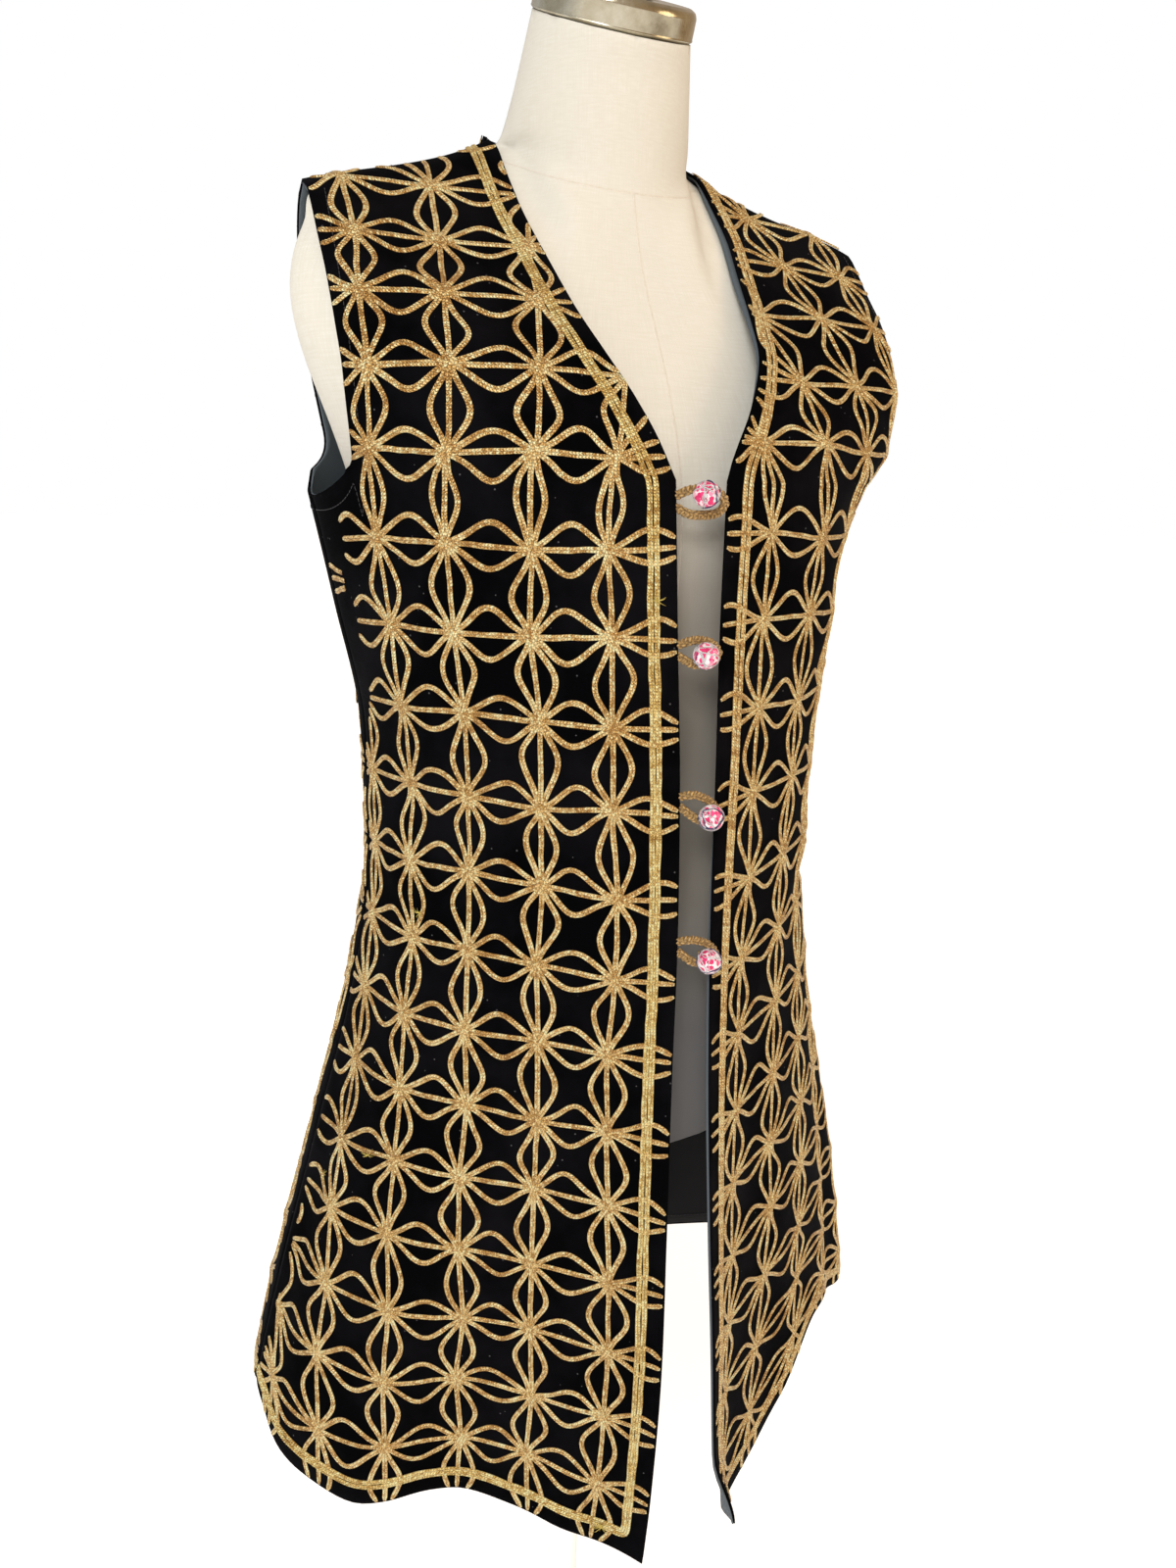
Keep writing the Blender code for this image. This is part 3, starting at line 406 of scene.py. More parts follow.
def grid_normals(points, facing):
    across = np.gradient(points, axis=1)
    down = np.gradient(points, axis=0)
    return unit(np.cross(across, down) * facing)


def settle_left(points, shares):
    """The left front stands fuller over the bust, draws in below it and curls at its corner."""
    corner = ease(LEVELS, 1.91, 2.00)[:, None] * (1 - ease(shares, 0.0, 0.12))[None, :]
    points[..., 0] += 0.012 * corner
    points[..., 1] -= 0.002 * corner
    outside = ease(shares, 0.42, 0.66) * (1 - ease(shares, 0.80, 0.98))
    full = ease(LEVELS, 0.10, 0.55) * (1 - ease(LEVELS, 0.86, 1.04))
    drawn = ease(LEVELS, 0.98, 1.06) * (1 - ease(LEVELS, 1.08, 1.17))
    lift = (0.0045 * full - 0.0065 * drawn)[:, None] * outside[None, :]
    points[..., 0] += 0.93 * lift
    points[..., 1] -= 0.37 * lift
    return points


def hang(name):
    side = "back" if name == "back" else "front"
    points = smooth_surface(name, side, HALF)
    shares = HALF
    if name == "back":
        mirror = points[:, :0:-1] * np.array([-1.0, 1.0, 1.0])
        points = np.concatenate([mirror, points], axis=1)
        shares = np.concatenate([-HALF[:0:-1], HALF])
    if name == "right":
        points = points * np.array([-1.0, 1.0, 1.0])
    if name == "left":
        points = settle_left(points, shares)
    facing = -1.0 if name == "left" else 1.0
    normals = grid_normals(points, facing)
    share_grid, level_grid = np.meshgrid(shares, LEVELS)
    points = points + normals * relief(name, share_grid, level_grid)[..., None]
    normals = grid_normals(points, facing)
    widths = np.linalg.norm(np.diff(points, axis=1), axis=2).sum(1)
    return {
        "name": name,
        "side": side,
        "shares": shares,
        "points": points,
        "normals": normals,
        "widths": widths,
    }


def look_up(cloth, grid, share, level):
    i = np.interp(share, cloth["shares"], np.arange(len(cloth["shares"])))
    j = np.interp(level, LEVELS, np.arange(len(LEVELS)))
    i0 = np.minimum(i.astype(int), len(cloth["shares"]) - 2)
    j0 = np.minimum(j.astype(int), len(LEVELS) - 2)
    a, b = (i - i0)[..., None], (j - j0)[..., None]
    upper = grid[j0, i0] * (1 - a) + grid[j0, i0 + 1] * a
    lower = grid[j0 + 1, i0] * (1 - a) + grid[j0 + 1, i0 + 1] * a
    return upper * (1 - b) + lower * b


def on_cloth(cloth, share, level):
    """The points and outward normals of the hung cloth at these places of its map."""
    share, level = np.broadcast_arrays(np.asarray(share, float), np.asarray(level, float))
    points = look_up(cloth, cloth["points"], share, level)
    return points, unit(look_up(cloth, cloth["normals"], share, level))


CLOTH = {name: hang(name) for name in ("right", "left", "back")}
for name, cloth in CLOTH.items():
    middle = on_cloth(cloth, np.array(0.4), np.array(1.4))
    print(name, "place", np.round(middle[0], 3), "faces", np.round(middle[1], 2))

# %% [markdown]
# ## Edges of the panels
#
# Each panel is a patch of that map. Its rows and columns bend to follow the neckline and the
# armhole, so the mesh has clean edges and no jagged steps where cloth is cut away.


# %% The neckline and the armhole on the map
def neckline_share(level):
    """Share of the front at which the V of the neckline lies."""
    level = np.atleast_1d(level)
    shares = np.linspace(0, ARM["front"], 129)
    wanted = smooth(level, V_TABLE["fall"], V_TABLE["half_width"])
    found = [np.interp(w, yoke("front", shares, fall)[:, 0], shares) for w, fall in zip(wanted, level)]
    return np.where(level >= 1, 0.0, np.array(found))


NECK_LEVELS = np.linspace(0, 1, 81)
NECK_SHARES = neckline_share(NECK_LEVELS)


def armhole_path(side, count):
    """The armhole from the shoulder tip to the side seam, as (share, level)."""
    turn = np.linspace(0, math.pi / 2, 33)
    start, corner, square = ARM[side], ARM_CORNER[side], ARM_SQUARE[side]
    outward = 1 - np.maximum(np.cos(turn), 0) ** square
    shares = np.concatenate([[start], start + (1 - start) * outward])
    bottom = 1 + ARM_BOTTOM / SKIRT_DROP
    levels = np.concatenate([[0], corner + (bottom - corner) * np.sin(turn) ** square])
    return along(np.stack([shares, levels], 1), np.linspace(0, 1, count) ** 0.9)


ARMHOLE = {side: armhole_path(side, 129) for side in ARM}


def share_limits(side, level):
    """Least and greatest share that is still cloth at these levels."""
    level = np.asarray(level, float)
    path = ARMHOLE[side]
    most = np.interp(level, path[:, 1], path[:, 0], right=1.0)
    least = -most if side == "back" else np.interp(level, NECK_LEVELS, NECK_SHARES, right=0.0)
    return least, most


# %% Rows and columns of a panel
def panel_map(side, yoke_rows, skirt_rows, columns):
    """Shares and levels of a panel's mesh: rows from shoulder to hem, columns from middle to side."""
    rows = yoke_rows + skirt_rows + 1
    inner, outer = np.zeros((rows, 2)), np.ones((rows, 2))
    falls = np.linspace(0, 1, yoke_rows + 1) ** 1.4
    inner[: yoke_rows + 1, 1] = falls
    if side == "front":
        inner[: yoke_rows + 1, 0] = neckline_share(falls)
    outer[: yoke_rows + 1] = armhole_path(side, yoke_rows + 1)
    inner[yoke_rows:, 1] = np.linspace(1, 2, skirt_rows + 1)
    outer[yoke_rows:, 1] = np.linspace(outer[yoke_rows, 1], 2, skirt_rows + 1)
    spread = np.linspace(0, 1, columns + 1)
    spread = spread + 0.035 * np.sin(2 * math.pi * spread) * -1
    grid = inner[:, None] + (outer - inner)[:, None] * spread[None, :, None]
    share, level = grid[..., 0], grid[..., 1]
    if side == "back":
        share = np.concatenate([-share[:, :0:-1], share], axis=1)
        level = np.concatenate([level[:, :0:-1], level], axis=1)
    return share, level


# %% [markdown]
# ## Meshes from arrays
#
# Every piece below ends as arrays of points and faces. One small function turns them into a
# Blender object, rides it on the frame's body and gives it its material.


# %% From arrays to an object
def add_piece(name, points, faces, material, uv=None):
    mesh = bpy.data.meshes.new(name)
    faces = faces if isinstance(faces, list) else faces.tolist()
    mesh.from_pydata(np.asarray(points).reshape(-1, 3).tolist(), [], faces)
    mesh.shade_smooth()
    if uv is not None:
        layer = mesh.uv_layers.new(name="run")
        corners = np.empty(len(mesh.loops), np.int32)
        mesh.loops.foreach_get("vertex_index", corners)
        layer.data.foreach_set("uv", np.asarray(uv, np.float32)[corners].ravel())
    mesh.materials.append(material)
    piece = bpy.data.objects.new(name, mesh)
    bpy.context.scene.collection.objects.link(piece)
    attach(piece, "root")
    return piece


def quads(rows, columns, first=0, wrap=False):
    """Faces of a grid of points; wrap joins the last column to the first."""
    i, j = np.meshgrid(np.arange(rows - 1), np.arange(columns if wrap else columns - 1), indexing="ij")
    k = (j + 1) % columns
    corners = [i * columns + j, i * columns + k, (i + 1) * columns + k, (i + 1) * columns + j]
    return np.stack(corners, -1).reshape(-1, 4) + first


# %% [markdown]
# ## Shared finishes
#
# Effects that several materials use are node groups. A group puts out only values, colours or
# normals, and the Principled shader stays in each material, where its constant sockets are set
# directly. The helper below adds a node and either links or sets each of its inputs.


# %% Node helpers
def add_node(tree, kind, settings=None, **inputs):
    made = tree.nodes.new(kind)
    for key, value in (settings or {}).items():
        setattr(made, key, value)
    for key, value in inputs.items():
        numbered = key[0] == "i" and key[1:].isdigit()
        socket = made.inputs[int(key[1:]) if numbered else key.replace("_", " ")]
        if isinstance(value, bpy.types.NodeSocket):
            tree.links.new(value, socket)
        else:
            socket.default_value = value
    return made


def reckon(tree, operation, a, b=0.0, c=0.0, clamp=False):
    """A Math node's result."""
    made = add_node(tree, "ShaderNodeMath", {"operation": operation, "use_clamp": clamp}, i0=a, i1=b)
    if not isinstance(c, float) or c:
        if isinstance(c, bpy.types.NodeSocket):
            tree.links.new(c, made.inputs[2])
        else:
            made.inputs[2].default_value = c
    return made.outputs[0]


def noise(tree, vector, scale, detail=3.0, roughness=0.55):
    made = add_node(
        tree, "ShaderNodeTexNoise", None, Vector=vector, Scale=scale, Detail=detail, Roughness=roughness
    )
    return made.outputs["Fac"]


def ramp(tree, value, stops):
    """A colour ramp from (place, colour) stops."""
    made = add_node(tree, "ShaderNodeValToRGB", None, Fac=value)
    bar = made.color_ramp
    while len(bar.elements) < len(stops):
        bar.elements.new(0.5)
    for element, (place, colour) in zip(bar.elements, stops):
        element.position = place
        element.color = (*colour, 1.0)
    return made.outputs["Color"]


def blend(tree, share, first, second, kind="MIX"):
    made = tree.nodes.new("ShaderNodeMix")
    made.data_type = "RGBA"
    made.blend_type = kind
    for socket, value in ((made.inputs[0], share), (made.inputs[6], first), (made.inputs[7], second)):
        if isinstance(value, bpy.types.NodeSocket):
            tree.links.new(value, socket)
        else:
            socket.default_value = value if not isinstance(value, tuple) or len(value) == 4 else (*value, 1.0)
    return made.outputs[2]


def new_group(name, inputs, outputs):
    """A shader node group with named sockets; returns its tree, inputs and output node."""
    tree = bpy.data.node_groups.new(name, "ShaderNodeTree")
    for socket, kind, value in inputs:
        made = tree.interface.new_socket(socket, in_out="INPUT", socket_type=kind)
        if value is not None:
            made.default_value = value
    for socket, kind in outputs:
        tree.interface.new_socket(socket, in_out="OUTPUT", socket_type=kind)
    entry, leave = tree.nodes.new("NodeGroupInput"), tree.nodes.new("NodeGroupOutput")
    return tree, entry.outputs, leave.inputs


FLOAT, VECTOR = "NodeSocketFloat", "NodeSocketVector"


def use_group(tree, group, **inputs):
    return add_node(tree, "ShaderNodeGroup", {"node_tree": group}, **inputs).outputs


def new_finish(name, **settings):
    """A material with a Principled shader whose constant sockets are set here."""
    made = bpy.data.materials.new(name)
    made.use_nodes = True
    shader = made.node_tree.nodes["Principled BSDF"]
    for key, value in settings.items():
        shader.inputs[key.replace("_", " ")].default_value = value
    return made, made.node_tree, shader


def own_place(tree):
    return add_node(tree, "ShaderNodeTexCoord").outputs["Object"]


def run_map(tree):
    """The map along and across a strip, as two sockets."""
    uv = add_node(tree, "ShaderNodeUVMap", {"uv_map": "run"}).outputs["UV"]
    parts = add_node(tree, "ShaderNodeSeparateXYZ", None, Vector=uv).outputs
    return parts["X"], parts["Y"], uv


def bump(tree, shader, height, distance, strength=1.0):
    made = add_node(tree, "ShaderNodeBump", None, Height=height, Distance=distance, Strength=strength)
    tree.links.new(made.outputs["Normal"], shader.inputs["Normal"])


# %% [markdown]
# ### Group: chain stitch
#
# Seen close, a row of chain stitch is a chain of small loops, so its two strands lean outward
# like a braid. The group takes the length along the row in stitches and the place across it,
# and puts out the height of the thread and a mask of the gaps between strands for painted shade.

# %% Group: chain stitch
group, entry, leave = new_group(
    "chain stitch",
    [("Along", FLOAT, 0.0), ("Across", FLOAT, 0.0), ("Lean", FLOAT, 0.55)],
    [("Height", FLOAT), ("Gap", FLOAT), ("Strand", FLOAT)],
)
CHAIN_STITCH = group
aside = reckon(group, "ABSOLUTE", entry["Across"])
from_row = reckon(group, "ABSOLUTE", reckon(group, "SUBTRACT", reckon(group, "MULTIPLY", aside, 2.0), 1.0))
lean = reckon(group, "MULTIPLY", from_row, entry["Lean"])
phase = reckon(group, "ADD", entry["Along"], lean)
cell = reckon(group, "FRACT", phase)
swell = reckon(group, "SINE", reckon(group, "MULTIPLY", cell, math.pi))
thread = reckon(group, "POWER", swell, 0.55)
rounded = reckon(group, "SUBTRACT", 1.0, reckon(group, "POWER", from_row, 3.0))
height = reckon(group, "MULTIPLY", thread, reckon(group, "MULTIPLY_ADD", rounded, 0.6, 0.4))
group.links.new(height, leave["Height"])
filled = reckon(group, "POWER", swell, 0.35)
group.links.new(reckon(group, "SUBTRACT", 1.0, filled, clamp=True), leave["Gap"])
side_of = reckon(group, "MULTIPLY", reckon(group, "SIGN", entry["Across"]), 31.7)
seed = reckon(group, "ADD", reckon(group, "FLOOR", phase), side_of)
strand = add_node(group, "ShaderNodeTexWhiteNoise", {"noise_dimensions": "1D"}, W=seed).outputs["Value"]
group.links.new(strand, leave["Strand"])

# %% [markdown]
# ### Group: plain weave
#
# Linen and lining are plain weave: warp and weft threads that go over and under in turn. Two
# crossed sine waves make it. The angle round the form's own axis gives the warp, so the threads
# stay upright all round.

# %% Group: plain weave
group, entry, leave = new_group(
    "plain weave",
    [("Vector", VECTOR, None), ("Pitch", FLOAT, 0.0007), ("Radius", FLOAT, 0.15)],
    [("Height", FLOAT), ("Slub", FLOAT)],
)
PLAIN_WEAVE = group
place = add_node(group, "ShaderNodeSeparateXYZ", None, Vector=entry["Vector"]).outputs
angle = reckon(group, "ARCTAN2", place["X"], place["Y"])
round_it = reckon(group, "DIVIDE", reckon(group, "MULTIPLY", angle, entry["Radius"]), entry["Pitch"])
up_it = reckon(group, "DIVIDE", place["Z"], entry["Pitch"])
warp = reckon(group, "SINE", reckon(group, "MULTIPLY", round_it, 2 * math.pi))
weft = reckon(group, "SINE", reckon(group, "MULTIPLY", up_it, 2 * math.pi))
over = reckon(group, "MULTIPLY", warp, weft)
group.links.new(reckon(group, "MULTIPLY_ADD", over, 0.5, 0.5), leave["Height"])
threads = add_node(group, "ShaderNodeCombineXYZ", None, X=round_it, Y=up_it).outputs["Vector"]
stretched = add_node(
    group, "ShaderNodeVectorMath", {"operation": "MULTIPLY"}, i0=threads, i1=(0.9, 0.05, 1.0)
).outputs[0]
crossed = add_node(
    group, "ShaderNodeVectorMath", {"operation": "MULTIPLY"}, i0=threads, i1=(0.04, 0.8, 1.0)
).outputs[0]
slub = reckon(group, "MULTIPLY", noise(group, stretched, 1.0), noise(group, crossed, 1.0))
group.links.new(slub, leave["Slub"])

# %% [markdown]
# ### Group: handling
#
# Use leaves broad, faint patches where a pile was crushed or a surface was rubbed, and a few
# specks of lint. Both come from noise in the piece's own space.

# %% Group: handling
group, entry, leave = new_group(
    "handling",
    [("Vector", VECTOR, None), ("Patch", FLOAT, 12.0), ("Speck", FLOAT, 700.0)],
    [("Rubbed", FLOAT), ("Lint", FLOAT)],
)
HANDLING = group
broad = noise(group, entry["Vector"], entry["Patch"], 4.0, 0.6)
above_middle = reckon(group, "SUBTRACT", broad, 0.42)
group.links.new(reckon(group, "MULTIPLY", above_middle, 4.0, clamp=True), leave["Rubbed"])
cells = add_node(group, "ShaderNodeTexVoronoi", None, Vector=entry["Vector"], Scale=entry["Speck"])
near = reckon(group, "LESS_THAN", cells.outputs["Distance"], 0.22)
chosen = add_node(group, "ShaderNodeSeparateColor", None, Color=cells.outputs["Color"]).outputs["Red"]
rare = reckon(group, "GREATER_THAN", chosen, 0.985)
group.links.new(reckon(group, "MULTIPLY", near, rare), leave["Lint"])

# %% [markdown]
# ### Velvet
#
# Velvet is a field of short upright fibres. It swallows light seen from above and catches it
# where the pile is seen from the side, so it needs a very dark base and a sheen layer. The
# sheen's roughness and tint are constants, and crushed patches vary the base and the roughness.

# %% Velvet
velvet, tree, shader = new_finish(
    "black cotton velvet",
    Roughness=0.9,
    Sheen_Weight=0.014,
    Sheen_Roughness=0.30,
    Sheen_Tint=(0.42, 0.45, 0.60, 1.0),
    Specular_IOR_Level=0.015,
)
place = own_place(tree)
worn = use_group(tree, HANDLING, Vector=place, Patch=14.0, Speck=420.0)
pile = noise(tree, place, 1600.0, 2.0, 0.7)
base = blend(tree, worn["Rubbed"], (0.0007, 0.0007, 0.0010), (0.0036, 0.0034, 0.0044))
base = blend(tree, reckon(tree, "MULTIPLY", pile, 0.14), base, (0.0070, 0.0066, 0.0080))
base = blend(tree, reckon(tree, "MULTIPLY", worn["Lint"], 0.30), base, (0.22, 0.22, 0.23))
tree.links.new(base, shader.inputs["Base Color"])
tree.links.new(reckon(tree, "MULTIPLY_ADD", worn["Rubbed"], -0.12, 0.93), shader.inputs["Roughness"])
bump(tree, shader, pile, 0.0004, 0.6)

# %% [markdown]
# ### Gold thread
#
# The lattice and the left front's border are sewn in rayon thread with a soft gold colour, and
# the other borders in a slightly yellower one. One recipe makes both: leaning strands from the
# chain stitch group, painted shade in the gaps between them, in their middle groove and at their
# rims, fine specks that are partly the fibres' own tone and partly painted glints, and slow
# changes of tone where the thread was dyed unevenly.


# %% Gold thread
STITCH_LENGTH = 0.0019


def gold_thread(name, shade, middle, light):
    made, tree, shader = new_finish(
        name,
        Roughness=0.32,
        Specular_IOR_Level=0.95,
        Specular_Tint=(1.0, 0.80, 0.42, 1.0),
        Sheen_Weight=0.06,
        Sheen_Roughness=0.4,
        Sheen_Tint=(1.0, 0.80, 0.45, 1.0),
    )
    along_it, across_it, uv = run_map(tree)
    stitches = reckon(tree, "DIVIDE", along_it, STITCH_LENGTH)
    chain = use_group(tree, CHAIN_STITCH, Along=stitches, Across=across_it, Lean=0.62)
    place = own_place(tree)
    dyed = noise(tree, place, 45.0, 3.0, 0.6)
    # The fine fibre noise below adds light and dark specks to the tone: partly the fibres' own uneven tone,
    # partly painted glints.
    fibres = noise(tree, place, 1500.0, 2.0, 0.6)
    by_strand = reckon(tree, "MULTIPLY_ADD", chain["Strand"], 0.70, -0.36)
    tone = reckon(tree, "MULTIPLY_ADD", dyed, 0.80, by_strand)
    tone = reckon(tree, "MULTIPLY_ADD", reckon(tree, "SUBTRACT", fibres, 0.5), 3.2, tone)
    colour = ramp(tree, tone, [(0.02, shade), (0.40, middle), (0.78, light)])
    # Painted shade: the groove between the two rows, the rims of the strip and the gaps between strands are
    # blended toward a dark copy of the shade colour.
    aside = reckon(tree, "ABSOLUTE", across_it)
    groove = reckon(tree, "SUBTRACT", 1.0, reckon(tree, "MULTIPLY", aside, 5.0), clamp=True)
    rim = reckon(tree, "MULTIPLY", reckon(tree, "SUBTRACT", aside, 0.80), 6.0, clamp=True)
    in_gap = reckon(tree, "MULTIPLY", chain["Gap"], 0.85)
    dark = reckon(tree, "MAXIMUM", in_gap, reckon(tree, "MULTIPLY", groove, 0.75))
    dark = reckon(tree, "MAXIMUM", dark, reckon(tree, "MULTIPLY", rim, 0.80))
    colour = blend(tree, dark, colour, tuple(c * 0.16 for c in shade))
    tree.links.new(colour, shader.inputs["Base Color"])
    tree.links.new(reckon(tree, "MULTIPLY_ADD", chain["Strand"], 0.22, 0.30), shader.inputs["Roughness"])
    bump(tree, shader, reckon(tree, "MULTIPLY_ADD", fibres, 0.5, chain["Height"]), 0.0011, 1.0)
    return made


lattice_thread = gold_thread(
    "gold rayon chain stitch", (0.32, 0.125, 0.020), (1.0, 0.60, 0.180), (1.0, 0.98, 0.60)
)
border_thread = gold_thread(
    "yellow gold chain stitch", (0.38, 0.170, 0.024), (1.0, 0.70, 0.190), (1.0, 0.98, 0.58)
)

# %% [markdown]
# ### Lining, linen and the smaller finishes
#
# The lining is a matt slate cotton, and low on the back its colour is painted nearly black as
# shade. The dress form's cover is unbleached linen, so its weave and slubs are stronger. Below the
# chest its colour is painted shade instead, a plain grey, darker at the bottom than at the top.
# Both cloths use the plain weave group with their own values.

# %% Lining and linen
# Below this height, painted shade turns the lining of the back nearly black.
BACK_SHADE_TOP = 0.78
# Painted shade on the form's cover: grey below the chest, darker toward the bottom.
COVER_SHADE_TOP, COVER_SHADE_FROM, COVER_SHADE_SPAN = 1.160, 0.80, 0.10
COVER_SHADE_LOW = (0.26, 0.25, 0.25)
COVER_SHADE_HIGH = (0.46, 0.42, 0.36)
lining_cloth, tree, shader = new_finish(
    "slate cotton lining", Roughness=0.62, Sheen_Weight=0.02, Sheen_Roughness=0.5, Specular_IOR_Level=0.08
)
place = own_place(tree)
woven = use_group(tree, PLAIN_WEAVE, Vector=place, Pitch=0.0006, Radius=0.17)
worn = use_group(tree, HANDLING, Vector=place, Patch=9.0, Speck=300.0)
colour = blend(tree, woven["Height"], (0.062, 0.078, 0.092), (0.100, 0.121, 0.138))
colour = blend(tree, reckon(tree, "MULTIPLY", worn["Rubbed"], 0.35), colour, (0.135, 0.155, 0.172))
parts = add_node(tree, "ShaderNodeSeparateXYZ", None, Vector=place).outputs
# Painted shade: low on the back, the lining's colour is blended to near black.
low = reckon(tree, "MULTIPLY", reckon(tree, "SUBTRACT", BACK_SHADE_TOP, parts["Z"]), 9.0, clamp=True)
behind = reckon(tree, "MULTIPLY", reckon(tree, "SUBTRACT", parts["Y"], 0.02), 40.0, clamp=True)
colour = blend(tree, reckon(tree, "MULTIPLY", low, behind), colour, (0.0030, 0.0030, 0.0040))
tree.links.new(colour, shader.inputs["Base Color"])
tree.links.new(reckon(tree, "MULTIPLY_ADD", worn["Rubbed"], 0.15, 0.55), shader.inputs["Roughness"])
bump(tree, shader, woven["Height"], 0.0002, 0.5)

linen, tree, shader = new_finish(
    "unbleached linen cover", Roughness=0.85, Sheen_Weight=0.1, Sheen_Roughness=0.5, Specular_IOR_Level=0.25
)
place = own_place(tree)
woven = use_group(tree, PLAIN_WEAVE, Vector=place, Pitch=0.0010, Radius=0.15)
worn = use_group(tree, HANDLING, Vector=place, Patch=7.0, Speck=260.0)
slub = reckon(tree, "MULTIPLY", reckon(tree, "SUBTRACT", woven["Slub"], 0.18), 3.0, clamp=True)
colour = blend(tree, slub, (0.665, 0.635, 0.550), (0.745, 0.725, 0.660))
colour = blend(tree, reckon(tree, "MULTIPLY", worn["Rubbed"], 0.35), colour, (0.705, 0.660, 0.565))
colour = blend(tree, reckon(tree, "MULTIPLY", woven["Height"], 0.16), colour, (0.785, 0.770, 0.715))
parts = add_node(tree, "ShaderNodeSeparateXYZ", None, Vector=place).outputs
# Painted shade: below the chest the cover's colour is blended to a grey, darker toward the bottom, as the
# shade under the vest.
below = reckon(tree, "MULTIPLY", reckon(tree, "SUBTRACT", COVER_SHADE_TOP, parts["Z"]), 16.0, clamp=True)
above = reckon(tree, "SUBTRACT", parts["Z"], COVER_SHADE_FROM)
up_it = reckon(tree, "DIVIDE", above, COVER_SHADE_SPAN, clamp=True)
cover_shade = blend(tree, up_it, COVER_SHADE_LOW, COVER_SHADE_HIGH)
colour = blend(tree, reckon(tree, "MULTIPLY", below, 0.95), colour, cover_shade)
tree.links.new(colour, shader.inputs["Base Color"])
tree.links.new(reckon(tree, "MULTIPLY_ADD", slub, 0.1, 0.8), shader.inputs["Roughness"])
tall = reckon(tree, "MULTIPLY_ADD", slub, 0.6, woven["Height"])
bump(tree, shader, tall, 0.00028, 0.55)


# %% [markdown]
# Sewing thread, cord and fibre share one recipe: a twisted strand, seen as slanting stripes
# along the strip's own map. The stripes are painted shade, dark in the grooves between the plies.


# %% Twisted thread
def twisted_thread(name, dark, light, twist, ply=2.0, roughness=0.6, fleck=0.35):
    made, tree, shader = new_finish(name, Roughness=roughness, Specular_IOR_Level=0.4, Sheen_Weight=0.1)
    along_it, across_it, uv = run_map(tree)
    slant = reckon(tree, "MULTIPLY_ADD", across_it, ply, reckon(tree, "DIVIDE", along_it, twist))
    wave = reckon(tree, "SINE", reckon(tree, "MULTIPLY", slant, 2 * math.pi))
    # Painted shade: the colour follows the stripe, dark in the grooves between plies; the noise flecks are
    # the thread's own uneven tone.
    stripe = reckon(tree, "MULTIPLY_ADD", wave, 0.5, 0.5)
    tone = noise(tree, own_place(tree), 500.0, 3.0, 0.6)
    striped = reckon(tree, "MULTIPLY", stripe, 1.0 - fleck)
    mixed = reckon(tree, "MULTIPLY_ADD", tone, fleck, striped, clamp=True)
    tree.links.new(ramp(tree, mixed, [(0.08, dark), (0.80, light)]), shader.inputs["Base Color"])
    tree.links.new(reckon(tree, "MULTIPLY_ADD", tone, 0.2, roughness - 0.1), shader.inputs["Roughness"])
    bump(tree, shader, stripe, 0.00025, 0.8)
    return made


cord_thread = twisted_thread(
    "bronze gold cord", (0.040, 0.019, 0.005), (0.50, 0.31, 0.11), 0.0022, fleck=0.45
)
shank_thread = twisted_thread("dull gold thread", (0.10, 0.055, 0.018), (0.45, 0.30, 0.13), 0.0016)
netting_thread = twisted_thread("white netting thread", (0.26, 0.25, 0.27), (0.74, 0.72, 0.73), 0.0012)
navy_thread = twisted_thread("navy thread", (0.010, 0.014, 0.050), (0.045, 0.060, 0.170), 0.0012)
dark_thread = twisted_thread("dark sewing thread", (0.006, 0.006, 0.008), (0.030, 0.030, 0.034), 0.0010)
frayed_thread = twisted_thread("frayed yellow thread", (0.38, 0.26, 0.03), (0.85, 0.70, 0.16), 0.0014)
seam_thread = twisted_thread("linen seam", (0.62, 0.55, 0.44), (0.88, 0.83, 0.74), 0.0018, fleck=0.8)

# %% Printed cotton of the balls
ball_cotton, tree, shader = new_finish(
    "pink printed cotton", Roughness=0.75, Sheen_Weight=0.2, Specular_IOR_Level=0.3
)
place = own_place(tree)
blots = add_node(tree, "ShaderNodeTexVoronoi", None, Vector=place, Scale=330.0)
pick = add_node(tree, "ShaderNodeSeparateColor", None, Color=blots.outputs["Color"]).outputs["Red"]
PINK_TONES = [
    (0.0, (0.52, 0.012, 0.10)),
    (0.50, (0.74, 0.035, 0.17)),
    (0.80, (0.78, 0.09, 0.24)),
    (1.0, (0.82, 0.40, 0.50)),
]
pinks = ramp(tree, pick, PINK_TONES)
edge = reckon(tree, "GREATER_THAN", blots.outputs["Distance"], 0.56)
colour = blend(tree, edge, pinks, (0.78, 0.70, 0.72))
tree.links.new(colour, shader.inputs["Base Color"])
tree.links.new(reckon(tree, "MULTIPLY_ADD", pick, 0.2, 0.62), shader.inputs["Roughness"])
bump(tree, shader, noise(tree, place, 1500.0), 0.0003, 0.6)

# %% Brass, wood and enamel
BRASS_TONES = [(0.30, (0.18, 0.145, 0.085)), (0.52, (0.42, 0.375, 0.27)), (0.78, (0.64, 0.62, 0.52))]
WOOD_TONES = [(0.30, (0.012, 0.009, 0.008)), (0.60, (0.040, 0.028, 0.022)), (0.85, (0.085, 0.058, 0.042))]
brass, tree, shader = new_finish("aged brass", Metallic=0.95, Roughness=0.2)
place = own_place(tree)
squeezed = add_node(tree, "ShaderNodeMapping", None, Vector=place, Scale=(60.0, 60.0, 4.0)).outputs["Vector"]
brushed = noise(tree, squeezed, 14.0, 3.0, 0.6)
tarnish = noise(tree, place, 36.0, 5.0, 0.65)
colour = ramp(tree, tarnish, BRASS_TONES)
colour = blend(tree, reckon(tree, "MULTIPLY", brushed, 0.30), colour, (0.48, 0.445, 0.35))
